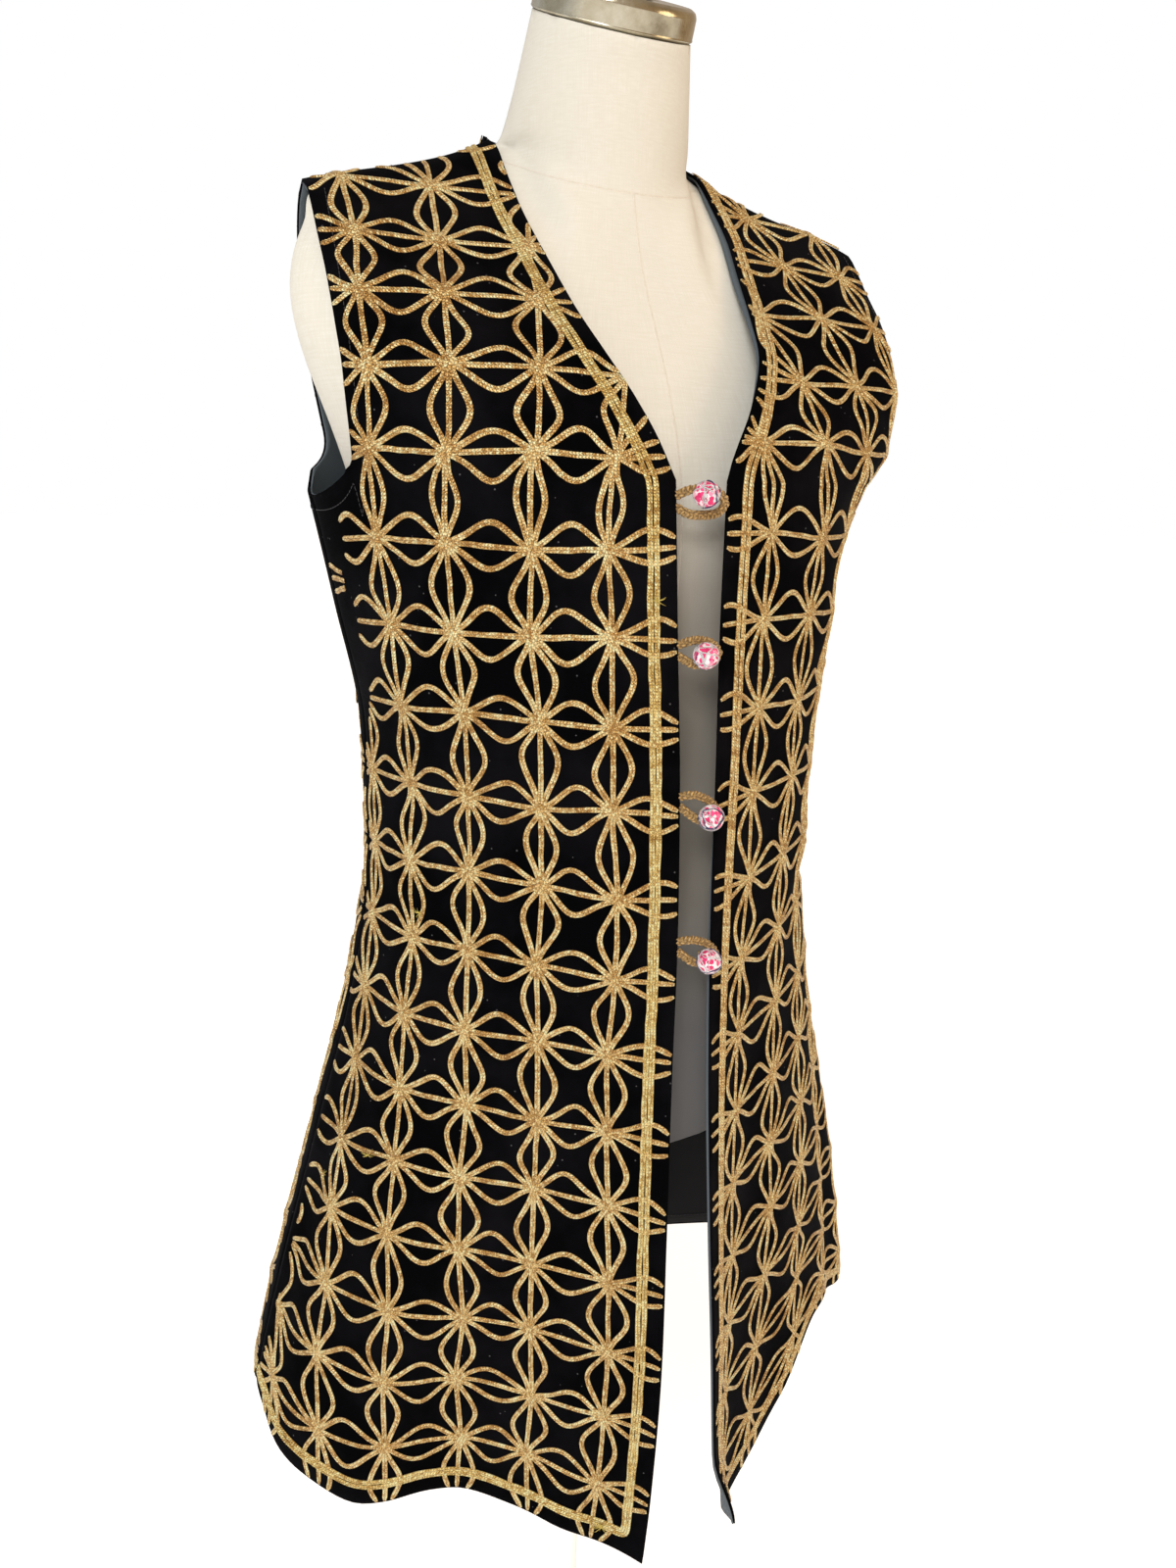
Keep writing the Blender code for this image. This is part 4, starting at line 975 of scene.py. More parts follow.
tree.links.new(colour, shader.inputs["Base Color"])
tree.links.new(reckon(tree, "MULTIPLY_ADD", tarnish, 0.28, 0.04), shader.inputs["Roughness"])
bump(tree, shader, brushed, 0.0002, 0.25)

dark_wood, tree, shader = new_finish("dark stained wood", Roughness=0.35, Coat_Weight=0.3, Coat_Roughness=0.2)
place = own_place(tree)
grain_place = add_node(
    tree, "ShaderNodeMapping", None, Vector=place, Scale=(1.0, 1.0, 0.12)
).outputs["Vector"]
grain = noise(tree, grain_place, 260.0, 5.0, 0.6)
colour = ramp(tree, grain, WOOD_TONES)
tree.links.new(colour, shader.inputs["Base Color"])
tree.links.new(reckon(tree, "MULTIPLY_ADD", grain, 0.25, 0.25), shader.inputs["Roughness"])
bump(tree, shader, grain, 0.0002, 0.4)

painted_steel, tree, shader = new_finish("white enamel", Roughness=0.4, Specular_IOR_Level=0.5)
place = own_place(tree)
orange_peel = noise(tree, place, 900.0, 2.0, 0.5)
worn = use_group(tree, HANDLING, Vector=place, Patch=10.0, Speck=350.0)
colour = blend(tree, worn["Rubbed"], (0.93, 0.93, 0.92), (0.88, 0.88, 0.86))
colour = blend(tree, reckon(tree, "MULTIPLY", worn["Lint"], 0.5), colour, (0.55, 0.53, 0.50))
tree.links.new(colour, shader.inputs["Base Color"])
tree.links.new(reckon(tree, "MULTIPLY_ADD", worn["Rubbed"], 0.15, 0.36), shader.inputs["Roughness"])
bump(tree, shader, orange_peel, 0.0003, 0.25)
print("finishes:", len(bpy.data.materials), "node groups:", len(bpy.data.node_groups))

# %% [markdown]
# ## Cloth shells
#
# A panel could be a single surface with a Solidify modifier. Here both faces are built, with a
# rounded rim between them, because a turned edge is fuller than a cut one and shows as a soft
# roll along the front opening, the neck and the hem. Near the left front's edge the velvet is
# drawn back by a few millimetres and the lining comes out, so a thin strip of it shows.


# %% A cloth wall with rolled edges
def cloth_shell(name, cloth, share, level, depth, thickness, roll, material):
    points, normals = on_cloth(cloth, share, level)
    rows, columns = share.shape
    outer = points - normals * depth
    inner = outer - normals * thickness
    ring = [(0, j) for j in range(columns)] + [(i, columns - 1) for i in range(1, rows)]
    ring += [(rows - 1, j) for j in range(columns - 2, -1, -1)] + [(i, 0) for i in range(rows - 2, 0, -1)]
    ring = np.array(ring)
    i, j = ring.T
    inward_i = np.clip(i, 1, rows - 2)
    inward_j = np.clip(j, 1, columns - 2)
    out_of_edge = unit(points[i, j] - points[inward_i, inward_j])
    seam = np.abs(share[i, j]) > 1 - 1e-6
    seam |= level[i, j] < 1e-6
    swell = np.where(seam, 0.0, roll)[:, None]
    rim = [
        outer[i, j] * (1 - t) + inner[i, j] * t + out_of_edge * swell * math.sin(math.pi * t)
        for t in (0.25, 0.75)
    ]
    count = rows * columns
    around = len(ring)
    all_points = np.concatenate([outer.reshape(-1, 3), inner.reshape(-1, 3), *rim])
    face = quads(rows, columns)
    flip = cloth["name"] != "left"
    outer_face = face[:, ::-1] if not flip else face
    inner_face = (face if not flip else face[:, ::-1]) + count
    edge = i * columns + j
    loops = [edge, 2 * count + np.arange(around), 2 * count + around + np.arange(around), edge + count]
    sides = []
    for first, second in zip(loops, loops[1:]):
        strip = np.stack([first, np.roll(first, -1), np.roll(second, -1), second], -1)
        sides.append(strip[:, ::-1] if flip else strip)
    piece = add_piece(name, all_points, np.concatenate([outer_face, inner_face, *sides]), material)
    mesh = piece.data
    shape = bmesh.new()
    shape.from_mesh(mesh)
    bmesh.ops.recalc_face_normals(shape, faces=shape.faces)
    if shape.calc_volume(signed=True) < 0:
        bmesh.ops.reverse_faces(shape, faces=shape.faces)
    shape.to_mesh(mesh)
    shape.free()
    area = np.linalg.norm(
        np.cross(points[1:, :-1] - points[:-1, :-1], points[:-1, 1:] - points[:-1, :-1]), axis=-1
    ).sum()
    print(name, "triangles", 2 * len(mesh.polygons), "cloth area", round(float(area), 4), "m2")
    return piece


# %% Velvet panels and their linings
EDGE_ROLL = 0.0007
EDGE_FADE = 0.15
PEEK_COLUMNS = ("level", "velvet_back", "lining_inset")
PEEK_ON_LEFT = (
    (0.02, 0.0000, 0.0020),
    (0.10, 0.0038, 0.0012),
    (0.25, 0.0055, 0.0008),
    (0.42, 0.0055, 0.0010),
    (0.55, 0.0052, 0.0028),
    (0.70, 0.0044, 0.0036),
    (0.82, 0.0026, 0.0034),
    (0.95, 0.0000, 0.0020),
    (1.25, 0.0000, 0.0018),
    (1.40, 0.0010, 0.0002),
    (1.88, 0.0014, 0.0000),
    (1.95, 0.0032, 0.0000),
    (2.00, 0.0045, 0.0000),
)
PEEK = table(PEEK_COLUMNS, PEEK_ON_LEFT)


def drawn_back(name, share, level, column):
    """Share moved inward near the left front's edge, so the lining shows there or hides."""
    if name != "left":
        return share + (0.0 if column == "velvet_back" else (1 - share) * LINING_INSET / HALF_SECTION)
    least = np.interp(level, NECK_LEVELS, NECK_SHARES, right=0.0)
    near = 1 - np.clip((share - least) / EDGE_FADE, 0, 1)
    return share + near * np.interp(level, PEEK["level"], PEEK[column]) / HALF_SECTION


PANELS = {
    "right": ("velvet_front_right", "lining_cloth_front_right", "front_right", "lining_front_right"),
    "left": ("velvet_front_left", "lining_cloth_front_left", "front_left", "lining_front_left"),
    "back": ("velvet_back", "lining_cloth_back", "back", "lining_back"),
}
for name, (velvet_name, lining_name, velvet_node, lining_node) in PANELS.items():
    cloth = CLOTH[name]
    share, level = panel_map(cloth["side"], 56, 104, 56)
    share = drawn_back(name, share, level, "velvet_back")
    cloth_shell(velvet_name, cloth, share, level, 0.0, VELVET, EDGE_ROLL, velvet)
    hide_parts(velvet_node)
    share, level = panel_map(cloth["side"], 36, 64, 34)
    if name != "back":
        share = drawn_back(name, share, level, "lining_inset")
    level = np.minimum(level, 2 - LINING_INSET / SKIRT_DROP)
    piece = cloth_shell(
        lining_name, cloth, share, level, VELVET + SEAM_GAP, LINING, 0.0, lining_cloth
    )
    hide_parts(lining_node)

# %% [markdown]
# ## Strips of stitching
#
# A sewn line is a low strip with two rounded rows and a groove between them. Its middle line
# follows the cloth, its width lies across the cloth, and its height stands on the cloth's
# normal, so one function can make every line of the lattice and of the border.

# %% A strip on the cloth
ROW_PROFILE = np.array([(-1.0, -0.25), (-0.55, 0.92), (0.0, 0.42), (0.55, 0.92), (1.0, -0.25)])
THREAD_HALF_WIDTH = 0.00176
THREAD_HEIGHT = 0.00085
TAPER_LENGTH = 0.0012


class Strips:
    """Collects strips so that many become one mesh."""

    def __init__(self):
        self.points, self.faces, self.map, self.count, self.length = [], [], [], 0, 0.0

    def add(self, line, normals, lift, half_width, height, profile=ROW_PROFILE):
        steps = np.linalg.norm(np.diff(line, axis=0), axis=1)
        run = np.concatenate([[0], np.cumsum(steps)])
        ahead = unit(np.gradient(line, axis=0))
        aside = unit(np.cross(ahead, normals))
        n = len(line)
        taper = np.clip(np.minimum(run, run[-1] - run) / TAPER_LENGTH, 0, 1) * 0.45 + 0.55
        wide = (np.asarray(half_width) * taper)[:, None, None]
        tall = (np.asarray(height) * taper)[:, None, None]
        across = profile[None, :, 0, None]
        up = profile[None, :, 1, None]
        raised = np.asarray(lift)[..., None, None] + up * tall
        strip = line[:, None] + aside[:, None] * across * wide + normals[:, None] * raised
        self.points.append(strip.reshape(-1, 3))
        self.faces.append(quads(n, len(profile), self.count)[:, ::-1])
        uv = np.stack(np.broadcast_arrays(run[:, None], profile[None, :, 0]), -1)
        self.map.append(uv.reshape(-1, 2))
        self.count += n * len(profile)
        self.length += run[-1]

    def finish(self, name, material):
        points, faces, uv = (np.concatenate(part) for part in (self.points, self.faces, self.map))
        piece = add_piece(name, points, faces, material, uv)
        print(name, "triangles", 2 * len(piece.data.polygons), "sewn line", round(self.length, 1), "m")
        return piece


# %% [markdown]
# ## The lattice
#
# The embroidery repeats one idea. Rows and columns of crossing points cover the cloth about
# 50 mm apart, and every neighbouring pair is joined by a straight line and by two bowed ones
# that form a petal. A bowed line crosses to the other side at each crossing point, as it would
# if it were sewn in one go. Small seeded changes keep it from looking printed.

# %% Sizes of the lattice
COLUMN_BOW, ROW_BOW = 0.205, 0.245
BOW_POINT = 0.11
EDGE_REACH = 0.052
EDGE_PETAL = 0.72
STEPS_IN_CELL = 21
LATTICE = {
    "right": {
        "first": 0.0390,
        "pitch": 0.0465,
        "shoulder": ((-1, -0.36), (0, -0.12), (1, 0.12), (2, 0.385), (3, 0.63), (4, 0.86), (5, 1.09)),
        "heights": (0.238, 0.201, 0.164, 0.129, 0.096, 0.056, 0.012),
        "first_drop": 0.0387,
        "row_pitch": 0.0488,
    },
    "left": {
        "first": 0.0350,
        "pitch": 0.0490,
        "shoulder": ((-1, -0.42), (0, -0.18), (1, 0.05), (2, 0.31), (3, 0.57), (4, 0.82), (5, 1.05)),
        "heights": (0.240, 0.205, 0.170, 0.138, 0.102, 0.060, 0.022),
        "first_drop": 0.0307,
        "row_pitch": 0.0502,
    },
    "back": {
        "first": 0.0000,
        "pitch": 0.0470,
        "shoulder": ((-5, -1.08), (-4, -0.85), (-3, -0.61), (-2, -0.39), (-1, -0.19), (0, 0.0))
        + ((1, 0.19), (2, 0.39), (3, 0.61), (4, 0.85), (5, 1.08)),
        "heights": (0.240, 0.204, 0.169, 0.134, 0.100, 0.060, 0.017),
        "first_drop": 0.0360,
        "row_pitch": 0.0495,
    },
}
LAST_ROW = 12
HALF_CHEST = {"front": 0.250, "back": 0.249}
CROSSING_DRIFT = 0.040
SIDE_LIFT = 0.012
SKIRT_SPREAD = {"right": 0.42, "left": 0.70, "back": 0.60}


def jitter(name, i, j, salt):
    """A repeatable number from -1 to 1 for a crossing point or a line."""
    seed = (hash_of(name) + 374761393 * (i + 50) + 668265263 * (j + 50) + 2246822519 * salt) & 0xFFFFFFFF
    seed = ((seed ^ (seed >> 13)) * 1274126177) & 0xFFFFFFFF
    return ((seed ^ (seed >> 16)) & 0xFFFF) / 32767.5 - 1.0


def hash_of(name):
    return {"right": 11, "left": 29, "back": 53}[name] * 7919


def uneven(name, u, v, salt, reach):
    """Smooth unevenness over the lattice, from the numbers of the four crossings around."""
    i, j = np.floor(u).astype(int), np.floor(v).astype(int)
    a, b = u - i, v - j
    a, b = a * a * (3 - 2 * a), b * b * (3 - 2 * b)
    known = {}
    for di in range(i.min(), i.max() + 2):
        for dj in range(j.min(), j.max() + 2):
            known[di, dj] = jitter(name, di, dj, salt)
    pick = np.vectorize(lambda p, q: known[p, q], otypes=[float])
    upper = pick(i, j) * (1 - a) + pick(i + 1, j) * a
    lower = pick(i, j + 1) * (1 - a) + pick(i + 1, j + 1) * a
    return reach * (upper * (1 - b) + lower * b)


# %% From a place in the lattice to a place on the cloth
def lattice_place(name, u, v):
    """Share and level of column u and row v; whole numbers are the crossing points."""
    plan, cloth = LATTICE[name], CLOTH[name]
    u = u + uneven(name, u, v, 1, CROSSING_DRIFT)
    v = v + uneven(name, u, v, 2, CROSSING_DRIFT)
    side = cloth["side"]
    rows = np.arange(-len(plan["heights"]), LAST_ROW + 2)
    drops = plan["first_drop"] + plan["row_pitch"] * np.arange(0, LAST_ROW + 1)
    heights = np.concatenate([plan["heights"], -drops, [-drops[-1] - EDGE_REACH]])
    height = np.interp(v, rows, heights)
    at_top = np.interp(u, *np.array(plan["shoulder"]).T)
    half = HALF_CHEST[side]
    share = u * plan["pitch"] / half
    for _ in range(4):
        rise = top_of(side, np.clip(np.abs(share), 0, 1))[..., 2]
        level = np.where(height > 0, 1 - height / rise, 1 - height / SKIRT_DROP)
        level = level + SIDE_LIFT * share**2 * np.clip(v / LAST_ROW, 0, 1)
        width = np.interp(np.clip(level, 1, 2), LEVELS, cloth["widths"]) * (0.5 if side == "back" else 1.0)
        spread = (width / half) ** SKIRT_SPREAD[name]
        reach = plan["first"] + np.where(u > 0, u * plan["pitch"] * spread, u * EDGE_REACH)
        if side == "back":
            reach = u * plan["pitch"] * spread
        in_skirt = reach / width
        fall = np.clip(level, 0, 1)
        share = at_top + (in_skirt - at_top) * fall
    return share, level


def petal(name, t, line, salt, size):
    """Sideways swing of a bowed line at t cells along it."""
    cell = np.floor(t).astype(int)
    f = t - cell
    cells = range(cell.min(), cell.max() + 1)
    own = np.array([1.0 + 0.15 * jitter(name, c, line, salt) for c in cells])
    own[np.array(cells) == -1] *= EDGE_PETAL
    lean = np.array([0.085 * jitter(name, c, line, salt + 9) for c in cells])
    point = np.array([BOW_POINT + 0.05 * jitter(name, c, line, salt + 17) for c in cells])
    k = cell - cell.min()
    f = f + lean[k] * np.sin(math.pi * f)
    flip = np.where(cell % 2 == 0, 1.0, -1.0)
    return size * flip * own[k] * (np.sin(math.pi * f) - point[k] * np.sin(3 * math.pi * f))


# %% Sewing the lattice
EDGE_MARGIN = 0.0005
PLAIN_LEVELS = (0.96, 1.02, 1.12, 1.20, 1.27, 1.50, 1.62, 1.76, 1.90, 2.00)
PLAIN_FROM = {
    "front": (0.785, 0.850, 0.868, 0.895, 1.000, 1.000, 0.985, 0.970, 0.970, 1.000),
    "back": (1.00, 0.86, 0.84, 0.87, 0.98, 0.98, 0.95, 0.94, 0.95, 1.00),
}
# Three short row ends on the plain strip under the right arm: shares from and to, levels from and to
SIDE_ENDS = {
    "right": (
        ((0.985, 0.900), (1.0860, 1.0915)),
        ((0.985, 0.895), (1.0980, 1.0980)),
        ((0.985, 0.900), (1.1110, 1.1045)),
    )
}
SIDE_END_POINTS = 14
SIDE_END_LIFT = 0.0001


def inside_panel(cloth, share, level):
    """Which places carry lattice: the panel without its edges and the plain strip at its side seam."""
    least, most = share_limits(cloth["side"], np.clip(level, 0, 2))
    if cloth["name"] == "left":
        least = least + np.interp(level, PEEK["level"], PEEK["velvet_back"]) / HALF_SECTION
    half = 0.5 if cloth["side"] == "back" else 1.0
    width = np.interp(np.clip(level, 0, 2), LEVELS, cloth["widths"]) * half
    margin = EDGE_MARGIN / width
    plain = np.interp(level, PLAIN_LEVELS, PLAIN_FROM[cloth["side"]], left=1.0)
    most = np.minimum(most, plain)
    least = np.maximum(least, -plain)
    below_top = level > EDGE_MARGIN / YOKE_LENGTH
    above_hem = level < 2 - EDGE_MARGIN / SKIRT_DROP
    return (share > least + margin) & (share < most - margin) & below_top & above_hem


ENDS_FINER = 8
THREAD_WANDER = 0.00035
THREAD_UNEVEN = 0.09


def sew_line(
    strips, cloth, share, level, lift, rng, half_width=THREAD_HALF_WIDTH, height=THREAD_HEIGHT, hem=False
):
    """One sewn line. It is cut where the lattice ends, unless hem says that it runs through."""
    steps = np.arange(0, len(share) - 1 + 1e-9, 1 / ENDS_FINER)
    given = np.arange(len(share))
    lift = np.interp(steps, given, np.broadcast_to(lift, share.shape))
    share, level = np.interp(steps, given, share), np.interp(steps, given, level)
    places = np.arange(len(share))
    keep = np.ones(len(share), bool) if hem else inside_panel(cloth, share, level)
    edges = np.flatnonzero(np.diff(np.concatenate([[0], keep.astype(int), [0]])))
    for start, stop in edges.reshape(-1, 2):
        if stop - start < 2 * ENDS_FINER:
            continue
        n = max(int(round((stop - start) / ENDS_FINER)), 4)
        at = np.linspace(start, stop - 1, n)
        line, normals = on_cloth(cloth, np.interp(at, places, share), np.interp(at, places, level))
        knots = rng.uniform(-1, 1, n // 4 + 3)
        wobble = np.interp(np.linspace(0, len(knots) - 1, n), np.arange(len(knots)), knots)
        aside = unit(np.cross(unit(np.gradient(line, axis=0)), normals))
        line = line + aside * (THREAD_WANDER * wobble)[:, None]
        wide = half_width * (1 + THREAD_UNEVEN * np.roll(wobble, n // 2))
        strips.add(line, normals, np.interp(at, places, lift), wide, height)


CROSSING_REACH = 0.115
LEFT_THREAD = 0.92
# Lines of a column and of a row: bow, height above the cloth, and height added at a crossing
COLUMN_LINES = ((0, 0.0, 0.0005), (COLUMN_BOW, 0.00022, 0.0014), (-COLUMN_BOW, 0.00032, 0.0009))
ROW_LINES = ((0, 0.00010, 0.0), (ROW_BOW, 0.00042, 0.0002), (-ROW_BOW, 0.00052, 0.0006))


def piled(lift, pile, t):
    """Height of a line above the cloth: it climbs over the others near each crossing point."""
    away = (t - np.round(t)) / CROSSING_REACH
    return lift + pile * np.exp(-(away**2))


def sew_lattice(name, part, columns, u_from, u_to, half_width, seed):
    rng = np.random.default_rng(seed)
    strips = Strips()
    cloth, plan = CLOTH[name], LATTICE[name]
    rows = range(-len(plan["heights"]), LAST_ROW + 1)
    v = np.linspace(rows[0], LAST_ROW + 1, (LAST_ROW + 1 - rows[0]) * STEPS_IN_CELL + 1)
    for column in columns:
        for bow, lift, pile in COLUMN_LINES:
            swing = petal(name, v, column, 3 if bow > 0 else 4, bow) if bow else np.zeros(len(v))
            share, level = lattice_place(name, column + swing, v)
            sew_line(strips, cloth, share, level, piled(lift, pile, v), rng, half_width)
    u = np.linspace(u_from, u_to, (u_to - u_from) * STEPS_IN_CELL + 1)
    for row in rows:
        for bow, lift, pile in ROW_LINES:
            swing = petal(name, u, row, 5 if bow > 0 else 6, bow) if bow else np.zeros(len(u))
            share, level = lattice_place(name, u, row + swing)
            sew_line(strips, cloth, share, level, piled(lift, pile, u), rng, half_width)
    for shares, levels in SIDE_ENDS.get(name, ()):
        share, level = np.linspace(*shares, SIDE_END_POINTS), np.linspace(*levels, SIDE_END_POINTS)
        sew_line(strips, cloth, share, level, SIDE_END_LIFT, rng, half_width, hem=True)
    return strips.finish(part, lattice_thread)


stitching = {
    "right": [
        sew_lattice("right", "lattice_front_right", range(0, 6), -1, 6, THREAD_HALF_WIDTH, 11),
    ],
    "left": [
        sew_lattice(
            "left", "lattice_front_left", range(0, 6), -1, 6, LEFT_THREAD * THREAD_HALF_WIDTH, 12
        ),
    ],
    "back": [
        sew_lattice("back", "lattice_back_right", range(-6, 0), -7, 0, THREAD_HALF_WIDTH, 13),
        sew_lattice("back", "lattice_back_left", range(0, 7), 0, 7, THREAD_HALF_WIDTH, 14),
    ],
}

# %% [markdown]
# ## The border
#
# A double line of stitching frames the vest. Its distance from the edge is measured on the cloth
# itself: the edge's direction and the cloth's normal give the way inward, and the two slopes of
# the map turn that step back into shares and levels. The distance is constant, but for the left
# neckline, where the line lies closer to the edge toward the shoulder.

# %% The border's path
BORDER_INSET = 0.0140
INSET_LEVELS = (0.0, 0.60, 0.86, 1.02)
NECK_INSETS = {
    "right": (BORDER_INSET, BORDER_INSET, BORDER_INSET, BORDER_INSET),
    "left": (0.0060, 0.0075, 0.0110, BORDER_INSET),
}
BORDER_SPREAD = 0.00192
BORDER_HALF_WIDTH = 0.00174


def step_inward(cloth, share, level, distance, keep_side):
    """The places on the map that lie this distance from a line, to one side of it."""
    small = 2e-3
    share, level = np.clip(share, cloth["shares"][0], 1.0), np.clip(level, 0.0, 2.0)
    line, normals = on_cloth(cloth, share, level)
    ahead = unit(np.gradient(line, axis=0))
    inward = np.cross(normals, ahead) * keep_side
    more, less = np.minimum(share + small, 1), np.maximum(share - small, cloth["shares"][0])
    lower, upper = np.minimum(level + small, 2), np.maximum(level - small, 0)
    by_share = (on_cloth(cloth, more, level)[0] - on_cloth(cloth, less, level)[0]) / (more - less)[:, None]
    downward = on_cloth(cloth, share, lower)[0] - on_cloth(cloth, share, upper)[0]
    by_level = downward / (lower - upper)[:, None]
    aa, bb = (by_share**2).sum(-1), (by_level**2).sum(-1)
    ab = (by_share * by_level).sum(-1)
    p, q = (by_share * inward).sum(-1), (by_level * inward).sum(-1)
    below = aa * bb - ab * ab
    distance = np.asarray(distance, float)
    return share + distance * (p * bb - q * ab) / below, level + distance * (q * aa - p * ab) / below


def even_path(cloth, share, level, step=0.0022):
    """The same line with points this far apart on the cloth."""
    line = on_cloth(cloth, share, level)[0]
    run = np.concatenate([[0], np.cumsum(np.linalg.norm(np.diff(line, axis=0), axis=1))])
    at = np.linspace(0, run[-1], max(int(run[-1] / step), 4))
    return np.interp(at, run, share), np.interp(at, run, level)


def soften(path, passes):
    """Rounds the corners of a line of map places."""
    for _ in range(passes):
        inner = 0.25 * path[:-2] + 0.5 * path[1:-1] + 0.25 * path[2:]
        path = np.concatenate([path[:1], inner, path[-1:]])
    return path


def front_border(cloth):
    """Down the V of the neck and the front edge, round the point and along the hem."""
    levels = np.linspace(0.004, 1.0, 160)
    neck_share = np.interp(levels, NECK_LEVELS, NECK_SHARES)
    turn = 1 if cloth["name"] == "right" else -1
    if cloth["name"] == "left":
        neck_share = neck_share + np.interp(levels, PEEK["level"], PEEK["velvet_back"]) / HALF_SECTION
    edge = [[0.0, level] for level in np.linspace(1.01, 1.999, 160)]
    down = np.concatenate([np.stack([neck_share, levels], 1), edge])
    down = soften(down, 6)
    inset = np.interp(down[:, 1], INSET_LEVELS, NECK_INSETS[cloth["name"]])
    share, level = step_inward(cloth, np.maximum(down[:, 0], 0.0011), down[:, 1], inset, -turn)
    last = 2 - BORDER_INSET / SKIRT_DROP
    keep = level < last - 0.004
    share, level = share[keep], level[keep]
    hem_share = np.linspace(share[-1], 0.999, 140)
    path = np.concatenate([np.stack([share, level], 1), np.stack([hem_share, np.full(140, last)], 1)])
    share, level = even_path(cloth, *path.T)
    path = soften(np.stack([share, level], 1), 5)
    return path[:, 0], path[:, 1]


def back_borders(cloth):
    """One line round the neck and one along the hem, from seam to seam."""
    neck = np.interp(NECK_X, top_of("back", HALF)[:, 0], HALF)
    share = np.linspace(-neck, neck, 120)
    around = step_inward(cloth, share, np.full(120, 0.006), BORDER_INSET - 0.001, 1)
    hem = np.linspace(-0.999, 0.999, 300), np.full(300, 2 - BORDER_INSET / SKIRT_DROP)
    return [even_path(cloth, *around), even_path(cloth, *hem)]


# %% Sewing the border
BORDER_LIFT = 0.00075
BORDER_DRIFT, DRIFT_KNOTS = 0.0003, 12


def sew_border(name, part, paths, thread, seed):
    cloth, rng = CLOTH[name], np.random.default_rng(seed)
    strips = Strips()
    for share, level in paths:
        for offset in (-BORDER_SPREAD, BORDER_SPREAD):
            knots = np.linspace(0, len(share), DRIFT_KNOTS)
            drift = np.interp(np.arange(len(share)), knots, rng.uniform(-1, 1, DRIFT_KNOTS)) * BORDER_DRIFT
            moved = step_inward(cloth, share, level, offset + drift, 1)
            moved = np.clip(moved[0], -0.999, 0.999), np.clip(moved[1], 0.001, 1.999)
            sew_line(strips, cloth, *moved, BORDER_LIFT, rng, BORDER_HALF_WIDTH, hem=True)
    return strips.finish(part, thread)


right_path, left_path = front_border(CLOTH["right"]), front_border(CLOTH["left"])
stitching["right"].append(sew_border("right", "border_front_right", [right_path], border_thread, 21))
stitching["left"].append(sew_border("left", "border_front_left", [left_path], lattice_thread, 22))
stitching["back"].append(sew_border("back", "border_back", back_borders(CLOTH["back"]), border_thread, 23))

# %% [markdown]
# ## Tubes
#
# Threads, braids and frayed ends are thin tubes along a path. Each ring of the tube is turned
# as little as possible from the ring before, so the tube never twists by itself.


# %% A tube along a path
def tube(path, radius, sides=6):
    """Points, faces and map of a closed tube; radius may change along the path."""
    path = np.asarray(path, float)
    n = len(path)
    ahead = unit(np.gradient(path, axis=0))
    up = np.cross(ahead[0], (0.3, 0.5, 0.81))
    ups = []
    for direction in ahead:
        up = up - direction * (up @ direction)
        up = up / np.linalg.norm(up)
        ups.append(up)
    ups = np.array(ups)
    aside = np.cross(ahead, ups)
    angle = np.linspace(0, 2 * math.pi, sides, endpoint=False)
    radius = np.broadcast_to(np.asarray(radius, float), (n,))[:, None, None]
    round_it = np.cos(angle)[None, :, None] * ups[:, None] + np.sin(angle)[None, :, None] * aside[:, None]
    ring = path[:, None] + radius * round_it
    points = np.concatenate([ring.reshape(-1, 3), path[:1], path[-1:]])
    faces = quads(n, sides, 0, wrap=True).tolist()
    start, end = n * sides, n * sides + 1
    for k in range(sides):
        j = (k + 1) % sides
        faces.append([start, j, k])
        faces.append([end, (n - 1) * sides + k, (n - 1) * sides + j])
    run = np.concatenate([[0], np.cumsum(np.linalg.norm(np.diff(path, axis=0), axis=1))])
    uv = np.stack(np.broadcast_arrays(run[:, None], angle[None, :] / (2 * math.pi)), -1).reshape(-1, 2)
    uv = np.concatenate([uv, [[0.0, 0.5], [run[-1], 0.5]]])
    return points, faces, uv


def add_tubes(name, tubes, material):
    points, faces, maps, count = [], [], [], 0
    for part_points, part_faces, part_map in tubes:
        points.append(part_points)
        faces += [[k + count for k in face] for face in part_faces]
        maps.append(part_map)
        count += len(part_points)
    return add_piece(name, np.concatenate(points), faces, material, np.concatenate(maps))


def rounded_path(corners, count):
    """A smooth path through a few chosen places."""
    placed = np.asarray(corners, float)
    ends = np.concatenate([2 * placed[:1] - placed[1:2], placed, 2 * placed[-1:] - placed[-2:-1]])
    at = np.linspace(0, len(placed) - 1, count)
    cell = np.minimum(at.astype(int), len(placed) - 2)
    u = (at - cell)[:, None]
    a, b, c, d = (ends[cell + k] for k in range(4))
    return 0.5 * (2 * b + (c - a) * u + (2 * a - 5 * b + 4 * c - d) * u**2 + (3 * b - a - 3 * c + d) * u**3)


# %% [markdown]
# ## Topstitching
#
# A line of small dark stitches holds the facing of each armhole, and another holds the hem of
# the lining. Each stitch is a short tube that dips into the cloth at both ends.

# %% Topstitching
STITCH_STEP = 0.0032
STITCH_DIPS = np.array([[-0.0001], [0.00022], [0.00022], [-0.0001]])
FACING_WIDTH = 0.0085


